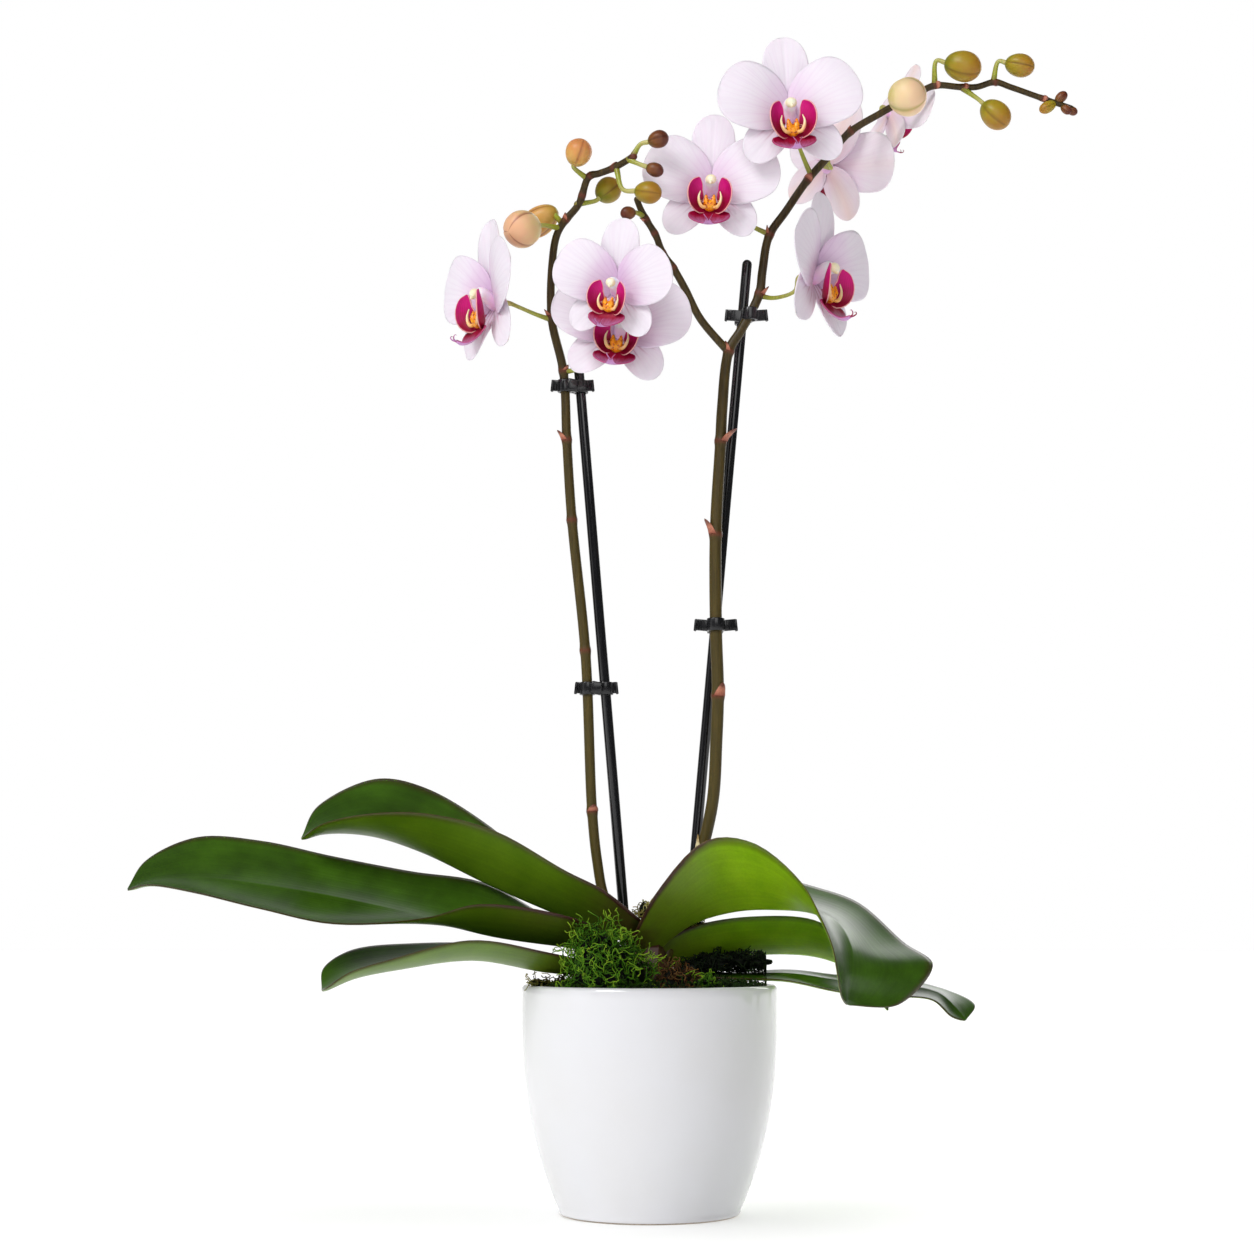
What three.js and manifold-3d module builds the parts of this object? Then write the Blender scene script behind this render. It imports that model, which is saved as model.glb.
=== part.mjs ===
// A potted moth orchid with two tied flower spikes, in a glazed cover pot.
// Millimetres, +Z up. The origin is the middle of the pot's underside; the plant faces -Y.
import * as THREE from "three";
import { mergeVertices } from "three/addons/utils/BufferGeometryUtils.js";
import Module from "manifold-3d";

const wasm = await Module();
wasm.setup();

// ---- Driving sizes ----

const GAP = 0.3; // between pieces that touch

const POT_HEIGHT = 128.5;
const POT_RIM_RADIUS = 72.5;
const POT_BASE_RADIUS = 50;
const POT_WALL = 5;
const POT_FLOOR = 7;

const GROW_POT_WALL = 1.2;
const GROW_POT_ROOM = 3.5; // between the grow pot's rim and the cover pot
const GROW_POT_BASE_RADIUS = 44;
const GROW_POT_BELOW_RIM = 11;
const DRAIN_SLOTS = 6;
const DRAIN_SLOT = { length: 14, width: 5, height: 9 };

const MOSS_DEPTH = 7;
const CROWN = { x: 2, y: 0, radius: 12, foot: -36, top: 26 };
// The roots' way from the crown, as [distance from the pot's axis, height above the rim].
const ROOTS = { count: 4, radius: 3, turn: 86, way: [[16, -30], [28, -52], [32, -80]] };

const STAKE_DIAMETER = 6;
const STAKE_FOOT = 18; // height of a stake's lower end in the pot
const CLIP_HEIGHT = 7.5;
const CLIP_WALL = 1.6;
const CLIP_WING = { span: 23, thick: 2.2, height: 6.5 };
const CLIP_BOSS_RADIUS = 4.2;

const SPIKE_DIAMETER = { left: 5.6, right: 6.8, branch: 4.3 };
const SPIKE_TAPER = { left: 0.7, right: 0.5, branch: 0.8 }; // tip diameter over foot diameter

const LEAF_THICKNESS = 2.2; // at the keel
const FLOWER_WIDTH = 79; // across both petals
const TEPAL_THICKNESS = 1;
const PEDICEL_RADIUS = 1.6;

// ---- Colours: [colour, roughness, metalness] ----

const LOOKS = {
  glaze: [0xf4f3f1, 0.12, 0],
  clearPlastic: [0xd8dad6, 0.25, 0],
  bark: [0x5a3c22, 0.95, 0],
  moss: [0x4f8a1f, 0.95, 0],
  dryMoss: [0x6d5a2a, 0.95, 0],
  crown: [0x55702a, 0.6, 0],
  leaf: [0x2f5a1c, 0.35, 0],
  spike: [0x5e4e28, 0.5, 0],
  stake: [0x101012, 0.2, 0],
  clip: [0x141416, 0.45, 0],
  tepal: [0xf3e6f2, 0.5, 0],
  lip: [0xa50034, 0.45, 0],
  bud: [0xcbb06e, 0.5, 0],
};

// ---- Solids ----

const v = (x, y, z) => new THREE.Vector3(x, y, z);
const plus = (a, b, scale = 1) => a.clone().addScaledVector(b, scale);
const aboveRim = ([x, y, z]) => v(x, y, z + POT_HEIGHT);

// The solid that a closed geometry bounds.
function solidOf(geometry) {
  const bare = geometry.index ? geometry.toNonIndexed() : geometry.clone();
  bare.deleteAttribute("normal");
  bare.deleteAttribute("uv");
  const merged = mergeVertices(bare, 1e-4);
  const vertProperties = new Float32Array(merged.attributes.position.array);
  const triVerts = new Uint32Array(merged.index.array);
  return new wasm.Manifold(new wasm.Mesh({ numProp: 3, vertProperties, triVerts }));
}

function geometryOf(solid) {
  const mesh = solid.getMesh();
  const geometry = new THREE.BufferGeometry();
  geometry.setAttribute("position", new THREE.BufferAttribute(mesh.vertProperties, 3));
  geometry.setIndex(new THREE.BufferAttribute(mesh.triVerts, 1));
  geometry.computeVertexNormals();
  return geometry;
}

const join = (solids) => solids.reduce((whole, solid) => whole.add(solid));
const cut = (solid, cutters) => cutters.reduce((rest, cutter) => rest.subtract(cutter), solid);

// What is left of a piece after a cut, without the crumbs that the cut set free.
function biggest(solid) {
  const bodies = solid.decompose();
  return bodies.reduce((most, body) => (body.volume() > most.volume() ? body : most));
}

// A closed skin through rings of points, each end closed by a fan about its middle.
// Each ring runs counterclockwise as seen from the last ring.
function skin(rings) {
  const count = rings[0].length;
  const middle = (ring) => ring.reduce((sum, p) => sum.add(p), v(0, 0, 0)).divideScalar(count);
  const points = [...rings.flat(), middle(rings[0]), middle(rings.at(-1))];
  const first = points.length - 2;
  const last = points.length - 1;
  const lastRing = (rings.length - 1) * count;
  const index = [];
  for (let side = 0; side < count; side++) {
    const next = (side + 1) % count;
    for (let ring = 0; ring < lastRing; ring += count) {
      const [a, b, c, d] = [ring + side, ring + next, ring + count + side, ring + count + next];
      index.push(a, b, d, a, d, c);
    }
    index.push(first, next, side, last, lastRing + side, lastRing + next);
  }
  const geometry = new THREE.BufferGeometry().setFromPoints(points);
  geometry.setIndex(index);
  return solidOf(geometry);
}

// A round stem along a curve; radiusAt gives its radius from 0 at the foot to 1 at the tip.
function stem(curve, radiusAt, steps, sides = 8) {
  const frames = curve.computeFrenetFrames(steps);
  const rings = [];
  for (let step = 0; step <= steps; step++) {
    const centre = curve.getPointAt(step / steps);
    const radius = radiusAt(step / steps);
    const ring = [];
    for (let side = 0; side < sides; side++) {
      const turn = (2 * Math.PI * side) / sides;
      const across = plus(centre, frames.normals[step], radius * Math.cos(turn));
      ring.push(plus(across, frames.binormals[step], radius * Math.sin(turn)));
    }
    rings.push(ring);
  }
  return skin(rings);
}

function ball(radius, centre, stretch = [1, 1, 1], sides = 6) {
  const geometry = new THREE.SphereGeometry(radius, sides, Math.ceil(sides * 0.6));
  geometry.scale(...stretch);
  geometry.translate(centre.x, centre.y, centre.z);
  return solidOf(geometry);
}

// ---- Scene ----

const orchid = new THREE.Group();

function addPiece(name, solid, look, parent = orchid) {
  const [color, roughness, metalness] = LOOKS[look];
  const material = new THREE.MeshStandardMaterial({ color, roughness, metalness });
  const mesh = new THREE.Mesh(geometryOf(solid), material);
  mesh.name = name;
  parent.add(mesh);
  return mesh;
}

// ---- Cover pot and grow pot ----

const POT_STRAIGHT_FROM = 0.87; // of the height: above it the wall stands upright
const POT_CURVE = 2.35;

function potRadius(z) {
  const drop = Math.max(0, 1 - z / (POT_STRAIGHT_FROM * POT_HEIGHT));
  return POT_RIM_RADIUS - (POT_RIM_RADIUS - POT_BASE_RADIUS) * drop ** POT_CURVE;
}

// A solid turned about the pot's axis from points [radius, height], inner foot first.
function turned(profile, segments) {
  const outline = profile.map(([radius, z]) => new THREE.Vector2(radius, z));
  const geometry = new THREE.LatheGeometry(outline, segments);
  geometry.rotateX(Math.PI / 2);
  return solidOf(geometry);
}

function coverPot() {
  const wallSteps = 6;
  const rimSteps = 3;
  const footRound = 2.5;
  const profile = [[0, 0], [POT_BASE_RADIUS - footRound, 0]];
  for (let i = 0; i <= wallSteps; i++) {
    const z = footRound + ((POT_HEIGHT - POT_WALL / 2 - footRound) * i) / wallSteps;
    profile.push([potRadius(z), z]);
  }
  for (let i = 1; i < rimSteps; i++) {
    const turn = (Math.PI * i) / rimSteps;
    profile.push([
      POT_RIM_RADIUS - (POT_WALL / 2) * (1 - Math.cos(turn)),
      POT_HEIGHT - (POT_WALL / 2) * (1 - Math.sin(turn)),
    ]);
  }
  for (let i = wallSteps; i >= 0; i--) {
    const z = POT_FLOOR + ((POT_HEIGHT - POT_WALL / 2 - POT_FLOOR) * i) / wallSteps;
    profile.push([potRadius(z) - POT_WALL, z]);
  }
  profile.push([0, POT_FLOOR]);
  return turned(profile, 36);
}

// The rim with the gap round it, for what lies over the rim.
function potRimRoom() {
  const inner = POT_RIM_RADIUS - POT_WALL - GAP;
  const outer = POT_RIM_RADIUS + GAP;
  const foot = POT_STRAIGHT_FROM * POT_HEIGHT;
  const top = POT_HEIGHT + GAP;
  return turned([[inner, foot], [outer, foot], [outer, top], [inner, top], [inner, foot]], 36);
}

const growPotTop = POT_HEIGHT - GROW_POT_BELOW_RIM;
const growPotFoot = POT_FLOOR + GAP;
const growPotRadius = POT_RIM_RADIUS - POT_WALL - GROW_POT_ROOM;

function growPotRadiusAt(z) {
  const rise = (z - growPotFoot) / (growPotTop - growPotFoot);
  return GROW_POT_BASE_RADIUS + (growPotRadius - GROW_POT_BASE_RADIUS) * rise;
}

function growPot() {
  const floor = growPotFoot + GROW_POT_WALL;
  const shell = turned(
    [
      [0, growPotFoot],
      [GROW_POT_BASE_RADIUS, growPotFoot],
      [growPotRadius, growPotTop],
      [growPotRadius - GROW_POT_WALL, growPotTop],
      [growPotRadiusAt(floor) - GROW_POT_WALL, floor],
      [0, floor],
    ],
    32,
  );
  const slots = [];
  for (let i = 0; i < DRAIN_SLOTS; i++) {
    const slot = new THREE.BoxGeometry(DRAIN_SLOT.length, DRAIN_SLOT.width, DRAIN_SLOT.height);
    slot.translate(GROW_POT_BASE_RADIUS, 0, growPotFoot);
    slot.rotateZ((2 * Math.PI * i) / DRAIN_SLOTS);
    slots.push(solidOf(slot));
  }
  return cut(shell, slots);
}

// ---- Stakes ----

const STAKES = {
  left: { top: [-41, 3, 357], low: [-15, 16, 44.5] },
  right: { top: [58.5, 10, 422.5], low: [27.5, 24, 81.5] },
};

// The straight line of a stake, from its foot in the pot to its top.
function stakeLine({ top, low }) {
  const end = aboveRim(top);
  const way = end.clone().sub(aboveRim(low));
  const foot = plus(end, way, (STAKE_FOOT - end.z) / way.z);
  return new THREE.LineCurve3(foot, end);
}

function stake(side, grow = 0) {
  const steps = 2;
  return stem(stakeLine(STAKES[side]), () => STAKE_DIAMETER / 2 + grow, steps, 10);
}

// ---- Crown and roots ----

function crown(grow = 0) {
  const height = CROWN.top - CROWN.foot;
  const middle = aboveRim([CROWN.x, CROWN.y, (CROWN.top + CROWN.foot) / 2]);
  const stretch = [1, 1, (height / 2 + grow) / (CROWN.radius + grow)];
  const parts = [ball(CROWN.radius + grow, middle, stretch, 10)];
  for (let i = 0; i < ROOTS.count; i++) {
    const turn = THREE.MathUtils.degToRad(ROOTS.turn) + (2 * Math.PI * i) / ROOTS.count;
    const out = ([reach, z]) => aboveRim([reach * Math.cos(turn), reach * Math.sin(turn), z]);
    const start = aboveRim([CROWN.x, CROWN.y, CROWN.foot + CROWN.radius]);
    const path = new THREE.CatmullRomCurve3([start, ...ROOTS.way.map(out)]);
    parts.push(stem(path, () => ROOTS.radius + grow, 4, 6));
  }
  return join(parts);
}

// ---- Growing medium and moss ----

function growingMedium(cutters) {
  const foot = growPotFoot + GROW_POT_WALL + GAP;
  const wall = GROW_POT_WALL + GAP;
  const plug = turned(
    [
      [0, foot],
      [growPotRadiusAt(foot) - wall, foot],
      [growPotRadius - wall, growPotTop],
      [0, growPotTop],
    ],
    32,
  );
  return biggest(cut(plug, cutters));
}

const MOSS_RINGS = 5;
const MOSS_LUMP = 2; // how far every other ring of the moss stands up
const mossFoot = growPotTop + GAP;
const mossTop = mossFoot + MOSS_DEPTH;
const mossRadius = POT_RIM_RADIUS - POT_WALL - 4 * GAP;

function mossBed(cutters) {
  const profile = [[0, mossFoot], [mossRadius, mossFoot], [mossRadius, mossTop]];
  for (let ring = MOSS_RINGS - 1; ring >= 0; ring--) {
    profile.push([(mossRadius * ring) / MOSS_RINGS, mossTop + (ring % 2 ? MOSS_LUMP : 0)]);
  }
  return biggest(cut(turned(profile, 22), cutters));
}

// A tuft of moss: a ball with bumps; a low squareness gives it blunt, boxy sides.
function mossClump(centre, size, squareness, cutters) {
  const geometry = new THREE.SphereGeometry(1, 14, 8);
  const position = geometry.attributes.position;
  const blunt = (c) => Math.sign(c) * Math.abs(c) ** squareness;
  for (let i = 0; i < position.count; i++) {
    const [x, y, z] = [position.getX(i), position.getY(i), position.getZ(i)];
    const bump = 1 + 0.07 * Math.sin(9 * x + 4 * z) * Math.cos(8 * y + 2 * x);
    position.setXYZ(i, bump * blunt(x) * size[0], bump * blunt(y) * size[1], blunt(z) * size[2]);
  }
  const at = aboveRim(centre);
  geometry.translate(at.x, at.y, at.z);
  return biggest(cut(solidOf(geometry), cutters));
}

// ---- Leaves ----

// Each station is [keel, left edge, right edge] as seen walking out along the leaf,
// and the last is the tip. Heights are above the pot's rim.
const LEAVES = {
  leaf_upper_left: [
    [[-14, 4, 25], [-12, -6, 30], [-16, 10, 33]],
    [[-47, 2, 38], [-48, -20, 64], [-52, 24, 56]],
    [[-89, 0, 56], [-88, -24, 86], [-93, 26, 91]],
    [[-131, 0, 76], [-128, -32, 96], [-132, 32, 113]],
    [[-160, -2, 85], [-160, -34, 96], [-161, 34, 118]],
    [[-186, -4, 86], [-183, -26, 91], [-192, 20, 103]],
    [[-199, -8, 82]],
  ],
  leaf_long_left: [
    [[-18, -6, 18], [-17, -14, 24], [-18, 2, 22]],
    [[-46, -16, 22], [-42, -38, 38], [-51, 10, 34]],
    [[-88, -20, 28], [-94, -50, 45], [-94, 10, 58]],
    [[-124, -22, 37], [-123, -58, 37], [-138, 10, 65]],
    [[-174, -24, 48], [-173, -58, 34], [-184, 8, 73]],
    [[-215, -24, 55], [-214, -54, 43], [-224, 6, 81]],
    [[-249, -24, 59], [-251, -48, 52], [-260, 0, 83]],
    [[-279, -22, 58], [-279, -36, 56], [-287, -8, 70]],
    [[-295, -20, 53]],
  ],
  leaf_lower_left: [
    [[-18, -12, 6], [-18, -18, 10], [-18, -4, 10]],
    [[-56, -24, 8], [-56, -46, 19], [-60, 2, 18]],
    [[-97, -34, 15], [-97, -66, 25], [-100, 0, 24]],
    [[-136, -40, 11], [-137, -72, 16], [-136, -6, 23]],
    [[-162, -44, 6], [-163, -68, 9], [-168, -16, 19]],
    [[-177, -46, 0], [-177, -58, 0], [-182, -30, 10]],
    [[-181, -46, -2]],
  ],
  leaf_big_right: [
    [[1, 0, 21], [6, 10, 29], [-7, -12, 30]],
    [[23, 0, 34], [22, 8, 45], [4, -24, 52]],
    [[49, -4, 42], [47, 26, 67], [31, -30, 81]],
    [[73, -10, 43], [76, 34, 60], [57, -46, 80]],
    [[92, -18, 41], [95, 26, 55], [83, -60, 57]],
    [[105, -28, 34], [121, 14, 46], [93, -66, 36]],
    [[111, -38, 21], [146, 2, 24], [98, -70, 21]],
    [[111, -44, 9], [161, -10, 12], [101, -70, 7]],
    [[109, -46, -2], [140, -26, -10], [104, -62, -4]],
    [[108, -48, -10]],
  ],
  leaf_mid_right: [
    [[9, 10, 15], [11, 20, 20], [6, 6, 19]],
    [[29, 22, 12], [30, 44, 25], [25, 8, 33]],
    [[64, 34, 17], [65, 62, 33], [61, 12, 39]],
    [[101, 44, 15], [104, 74, 30], [99, 24, 35]],
    [[126, 50, 4], [132, 72, 15], [117, 34, 17]],
    [[137, 52, -8], [144, 66, -3], [131, 40, -3]],
    [[141, 50, -17]],
  ],
  leaf_low_right: [
    [[8, 4, 4], [8, 10, 4], [8, -2, 3]],
    [[29, 8, 6], [29, 16, 6], [29, 0, 4]],
    [[49, 10, 5], [50, 28, 6], [48, -8, 4]],
    [[81, 12, 5], [82, 36, 7], [77, -10, 3]],
    [[110, 14, 1], [112, 38, 4], [108, -8, -4]],
    [[141, 14, -1], [144, 36, 3], [136, -4, -7]],
    [[166, 14, -6], [174, 30, -4], [161, 0, -9]],
    [[176, 12, -15], [188, 22, -12], [172, 4, -18]],
    [[181, 10, -21]],
  ],
};

const LEAF_STEPS = 13;
const LEAF_FLANK = 0.8; // thickness half way to an edge, over that at the keel
const LEAF_END = 0.985;
const LEAF_BOW = 0.07; // how far each half bows below a straight line, over its width

function leaf(stations, grow = 0) {
  const line = (column) =>
    new THREE.CatmullRomCurve3(stations.map((station) => aboveRim(station[column] ?? station[0])));
  const [keel, left, right] = [line(0), line(1), line(2)];
  const rings = [];
  for (let step = 0; step <= LEAF_STEPS; step++) {
    // The last ring stays a little short of the tip, where its sides would meet.
    const t = Math.min(step / LEAF_STEPS, LEAF_END);
    const [k, l, r] = [keel.getPoint(t), left.getPoint(t), right.getPoint(t)];
    const over = r.clone().sub(l);
    const up = over.clone().cross(keel.getTangent(t)).normalize();
    const side = over.clone().normalize();
    const bow = -LEAF_BOW * over.length() * 0.5;
    const half = (edge) => edge.clone().add(k).multiplyScalar(0.5).addScaledVector(up, bow);
    const thick = LEAF_THICKNESS / 2 + grow;
    rings.push([
      plus(r, side, grow),
      plus(half(r), up, -LEAF_FLANK * thick),
      plus(k, up, -thick),
      plus(half(l), up, -LEAF_FLANK * thick),
      plus(l, side, -grow),
      plus(half(l), up, LEAF_FLANK * thick),
      plus(k, up, thick),
      plus(half(r), up, LEAF_FLANK * thick),
    ]);
  }
  return skin(rings);
}

// ---- Flower spikes ----

const SPIKE_PATHS = {
  left: [
    [-6, 5, 14], [-17, 9, 34], [-26, 12, 50], [-30, 12.5, 70], [-33, 12, 99], [-37, 10, 191],
    [-45, 6, 269], [-48, 3, 315], [-50, 0, 355], [-57, -2, 387], [-56.5, -6, 421],
    [-54, -9, 435], [-50, -11, 442], [-41, -15, 452], [-35, -20, 467], [-29, -23, 468],
    [-20, -28, 470], [-9, -36, 474],
  ],
  right: [
    [8, 8, 10], [16, 14, 34], [24, 16, 56], [31, 15, 78], [37, 12, 106], [39, 10, 139],
    [40, 9, 167], [39, 7, 204], [39, 5, 261], [42, 3, 314], [43, 2, 334], [47, 0, 368],
    [54, 0, 380], [65, 0, 402], [67, 0, 416], [71, 0, 437], [81, 0, 452], [94, 0, 471],
    [107, 0, 486], [119, 0, 500], [138, 0, 512], [163, 0, 526], [171, 0, 529], [185, 0, 528],
    [195, 0, 528], [206, 0, 531], [215, 0, 528], [234, 0, 521], [251, 0, 515],
  ],
  branch: [
    [47, 0, 367], [30, -6, 386], [21, -10, 403], [14, -12, 415], [8, -14, 423],
    [4, -16, 433], [-1, -18, 441], [-5, -20, 448], [-7, -21, 453],
  ],
};
const SPIKE_STEPS = { left: 28, right: 38, branch: 10 };
const SPIKE_CURVES = Object.fromEntries(
  Object.entries(SPIKE_PATHS).map(([name, path]) => [
    name,
    new THREE.CatmullRomCurve3(path.map(aboveRim)),
  ]),
);

function spikeRadius(name, t) {
  return (SPIKE_DIAMETER[name] / 2) * (1 - (1 - SPIKE_TAPER[name]) * t);
}

function spike(name, grow = 0) {
  return stem(SPIKE_CURVES[name], (t) => spikeRadius(name, t) + grow, SPIKE_STEPS[name]);
}

// The point of a curve that lies at a height, found by halving.
function pointAtHeight(curve, z) {
  let [low, high] = [0, 1];
  for (let i = 0; i < 30; i++) {
    const middle = (low + high) / 2;
    if (curve.getPointAt(middle).z < z) low = middle;
    else high = middle;
  }
  return { t: low, point: curve.getPointAt(low) };
}

// ---- Clips ----

const CLIPS = {
  clip_upper_left: { side: "left", height: 347 },
  clip_lower_left: { side: "left", height: 170 },
  clip_upper_right: { side: "right", height: 390 },
  clip_lower_right: { side: "right", height: 207 },
};

function discAt(centre, radius, height) {
  const disc = new THREE.CylinderGeometry(radius, radius, height, 12);
  disc.rotateX(Math.PI / 2);
  disc.translate(centre.x, centre.y, centre.z);
  return solidOf(disc);
}

function clip({ side, height }, stemSolid, stakeSolid) {
  const z = height + POT_HEIGHT;
  const { t, point: spikeAt } = pointAtHeight(SPIKE_CURVES[side], z);
  const { point: stakeAt } = pointAtHeight(stakeLine(STAKES[side]), z);
  const middle = spikeAt.clone().lerp(stakeAt, 0.5);
  const reach = stakeAt.clone().sub(spikeAt).setZ(0);
  const turn = Math.atan2(reach.y, reach.x);
  const web = new THREE.BoxGeometry(reach.length(), STAKE_DIAMETER, CLIP_HEIGHT);
  web.rotateZ(turn);
  web.translate(middle.x, middle.y, z);
  const wings = new THREE.BoxGeometry(CLIP_WING.span, CLIP_WING.thick, CLIP_WING.height);
  wings.translate(middle.x, middle.y, z);
  const body = join([
    discAt(spikeAt.clone().setZ(z), spikeRadius(side, t) + GAP + CLIP_WALL, CLIP_HEIGHT),
    discAt(stakeAt.clone().setZ(z), STAKE_DIAMETER / 2 + GAP + CLIP_WALL, CLIP_HEIGHT),
    solidOf(web),
    solidOf(wings),
    ball(CLIP_BOSS_RADIUS, middle.clone().setZ(z), [1, 1.1, 1], 8),
  ]);
  return biggest(cut(body, [stemSolid, stakeSolid]));
}

// ---- Flowers ----

// A flat-lying blade in the flower's own plane: +X right, +Y up and +Z towards the viewer.
// peak is where along it the blade is widest, cup lifts its edges and rise lifts its tip.
const OUTLINE_POWER = 2.2;

function outline(t, peak, claw) {
  const away = t < peak ? (peak - t) / peak : (t - peak) / (1 - peak);
  return Math.max((1 - away ** OUTLINE_POWER) ** (1 / OUTLINE_POWER), claw * (1 - t) + 0.02);
}

function blade(shape, grow = 0) {
  const { start, angle, length, width, peak, claw, cup, rise, steps = 5 } = shape;
  const turn = THREE.MathUtils.degToRad(angle);
  const along = v(Math.cos(turn), Math.sin(turn), 0);
  const side = v(-Math.sin(turn), Math.cos(turn), 0);
  const front = v(0, 0, 1);
  const thick = TEPAL_THICKNESS / 2 + grow;
  const rings = [];
  for (let step = 0; step <= steps; step++) {
    const t = step / steps;
    const half = (width / 2) * outline(t, peak, claw) + grow;
    const centre = plus(start, along, length * t);
    centre.z += rise * t * length;
    const lifted = cup * half;
    const at = (share, lift) => plus(plus(centre, side, share * half), front, lift);
    rings.push([at(1, lifted), at(0, thick), at(-1, lifted), at(0, -thick)]);
  }
  return skin(rings);
}

const PETAL = { length: 0.53, width: 0.5, peak: 0.62, claw: 0.2, cup: 0.06, rise: 0.26 };
const DORSAL_SEPAL = { length: 0.57, width: 0.34, peak: 0.56, claw: 0.3, cup: 0.08, rise: 0.1 };
const LATERAL_SEPAL = { length: 0.46, width: 0.27, peak: 0.52, claw: 0.35, cup: 0.05, rise: 0.18 };

// A tepal's shape at the flower's size; the sizes above are shares of the flower's width.
function tepal({ length, width, ...rest }, angle, z) {
  const turn = THREE.MathUtils.degToRad(angle);
  const start = v(Math.cos(turn), Math.sin(turn), z / 1.5).multiplyScalar(1.5);
  return { ...rest, start, angle, length: length * FLOWER_WIDTH, width: width * FLOWER_WIDTH };
}

const HEART = { radius: 2.6, back: -3, front: 2.8 };
const COLUMN = { foot: 2.4, tip: 3, path: [[0, 0, 2], [0, 3, 7], [0, 4, 11], [0, 2, 14]] };

function petals(grow = 0) {
  const column = new THREE.CatmullRomCurve3(COLUMN.path.map((point) => v(...point)));
  return join([
    blade(tepal(PETAL, 20, 1.2), grow),
    blade(tepal(PETAL, 160, 1.2), grow),
    ball(HEART.radius + grow, v(0, 0, HEART.front)),
    stem(column, (t) => COLUMN.foot + (COLUMN.tip - COLUMN.foot) * t + grow, 3, 5),
  ]);
}

function sepals(grow = 0) {
  return join([
    blade(tepal(DORSAL_SEPAL, 90, -1.2), grow),
    blade(tepal(LATERAL_SEPAL, -48, -1.2), grow),
    blade(tepal(LATERAL_SEPAL, -132, -1.2), grow),
    ball(HEART.radius + grow, v(0, 0, HEART.back)),
  ]);
}

// The lip's hinge is below the heart; its size goes with the flower's width.
const LIP = { hinge: [0, -0.11, 0.1], lobe: [0.22, 0.15], mid: [0.15, 0.32], callus: 0.045 };

function lip() {
  const hinge = v(...LIP.hinge).multiplyScalar(FLOWER_WIDTH);
  const lobe = (angle, [length, width], shape) =>
    blade({
      ...shape,
      start: hinge,
      angle,
      length: length * FLOWER_WIDTH,
      width: width * FLOWER_WIDTH,
      steps: 3,
    });
  const raised = { peak: 0.6, claw: 0.25, cup: 0.35, rise: 0.3 };
  const hanging = { peak: 0.66, claw: 0.2, cup: -0.2, rise: 0.1 };
  return join([
    lobe(62, LIP.lobe, raised),
    lobe(118, LIP.lobe, raised),
    lobe(-90, LIP.mid, hanging),
    ball(LIP.callus * FLOWER_WIDTH, hinge),
  ]);
}

// Where each flower's heart is, with its height above the rim; its size; which way it
// faces, in degrees to the right of -Y and above level; its roll clockwise; and its
// stalk's way from the spike to its back.
const FLOWERS = {
  flower_1: {
    heart: [81, -32, 499.5], size: 1, turn: 3, tilt: -3, roll: 0,
    on: "right", stalk: [[96, 0, 474], [90, -10, 484], [84, -20, 496]],
  },
  flower_2: {
    heart: [36.5, -18, 459.5], size: 0.95, turn: -4, tilt: 0, roll: 3,
    on: "right", stalk: [[71, 0, 438], [59, -1, 444], [46, -4, 454]],
  },
  flower_3: {
    heart: [-25, -46, 392.5], size: 0.95, turn: -22, tilt: -8, roll: 9,
    on: "branch", stalk: [[8, -14, 422], [-3, -18, 418], [-18, -28, 402]],
  },
  flower_4: {
    heart: [-16, -18, 375], size: 0.97, turn: -6, tilt: -6, roll: 8,
    on: "left", stalk: [[-51, 0, 355], [-40, -3, 357], [-26, -4, 366]],
  },
  flower_5: {
    heart: [-88, -6, 396], size: 1, turn: -60, tilt: -2, roll: 0,
    on: "left", stalk: [[-57, -2, 386], [-66, -3, 389], [-78, -4, 394]],
  },
  flower_6: {
    heart: [99, -8, 408.5], size: 1.03, turn: 58, tilt: 2, roll: 2,
    on: "right", stalk: [[65, 0, 401], [74, 1, 400], [86, 0, 404]],
  },
  flower_7: {
    heart: [113, 24, 481.5], size: 0.95, turn: 142, tilt: -8, roll: 0,
    on: "right", stalk: [[106, 0, 485], [107, 6, 483], [109, 12, 482]],
  },
  flower_8: {
    heart: [151, 22, 517], size: 0.8, turn: 105, tilt: -28, roll: 0,
    on: "right", stalk: [[133, 0, 509], [134, 8, 512], [139, 14, 515]],
  },
};

function flowerGroup({ heart, size, turn, tilt, roll }) {
  const group = new THREE.Group();
  group.scale.setScalar(size);
  group.position.copy(aboveRim(heart));
  const stand = new THREE.Quaternion().setFromAxisAngle(v(1, 0, 0), Math.PI / 2);
  const spin = (axis, angle) =>
    new THREE.Quaternion().setFromAxisAngle(axis, THREE.MathUtils.degToRad(angle));
  group.quaternion
    .copy(spin(v(0, 0, 1), turn))
    .multiply(spin(v(1, 0, 0), tilt))
    .multiply(stand)
    .multiply(spin(v(0, 0, 1), -roll));
  group.updateMatrixWorld(true);
  return group;
}

const toWorld = (solid, group) => solid.transform(group.matrixWorld.elements);
const toLocal = (solid, group) => solid.transform(group.matrixWorld.clone().invert().elements);

function flowerStalk({ stalk }, group, grow = 0) {
  const back = group.localToWorld(v(0, 0, HEART.back));
  const behind = group.localToWorld(v(0, 0, HEART.back - 6));
  const path = new THREE.CatmullRomCurve3([...stalk.map(aboveRim), behind, back]);
  return stem(path, () => PEDICEL_RADIUS + grow, 6, 5);
}

// ---- Buds ----

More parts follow.
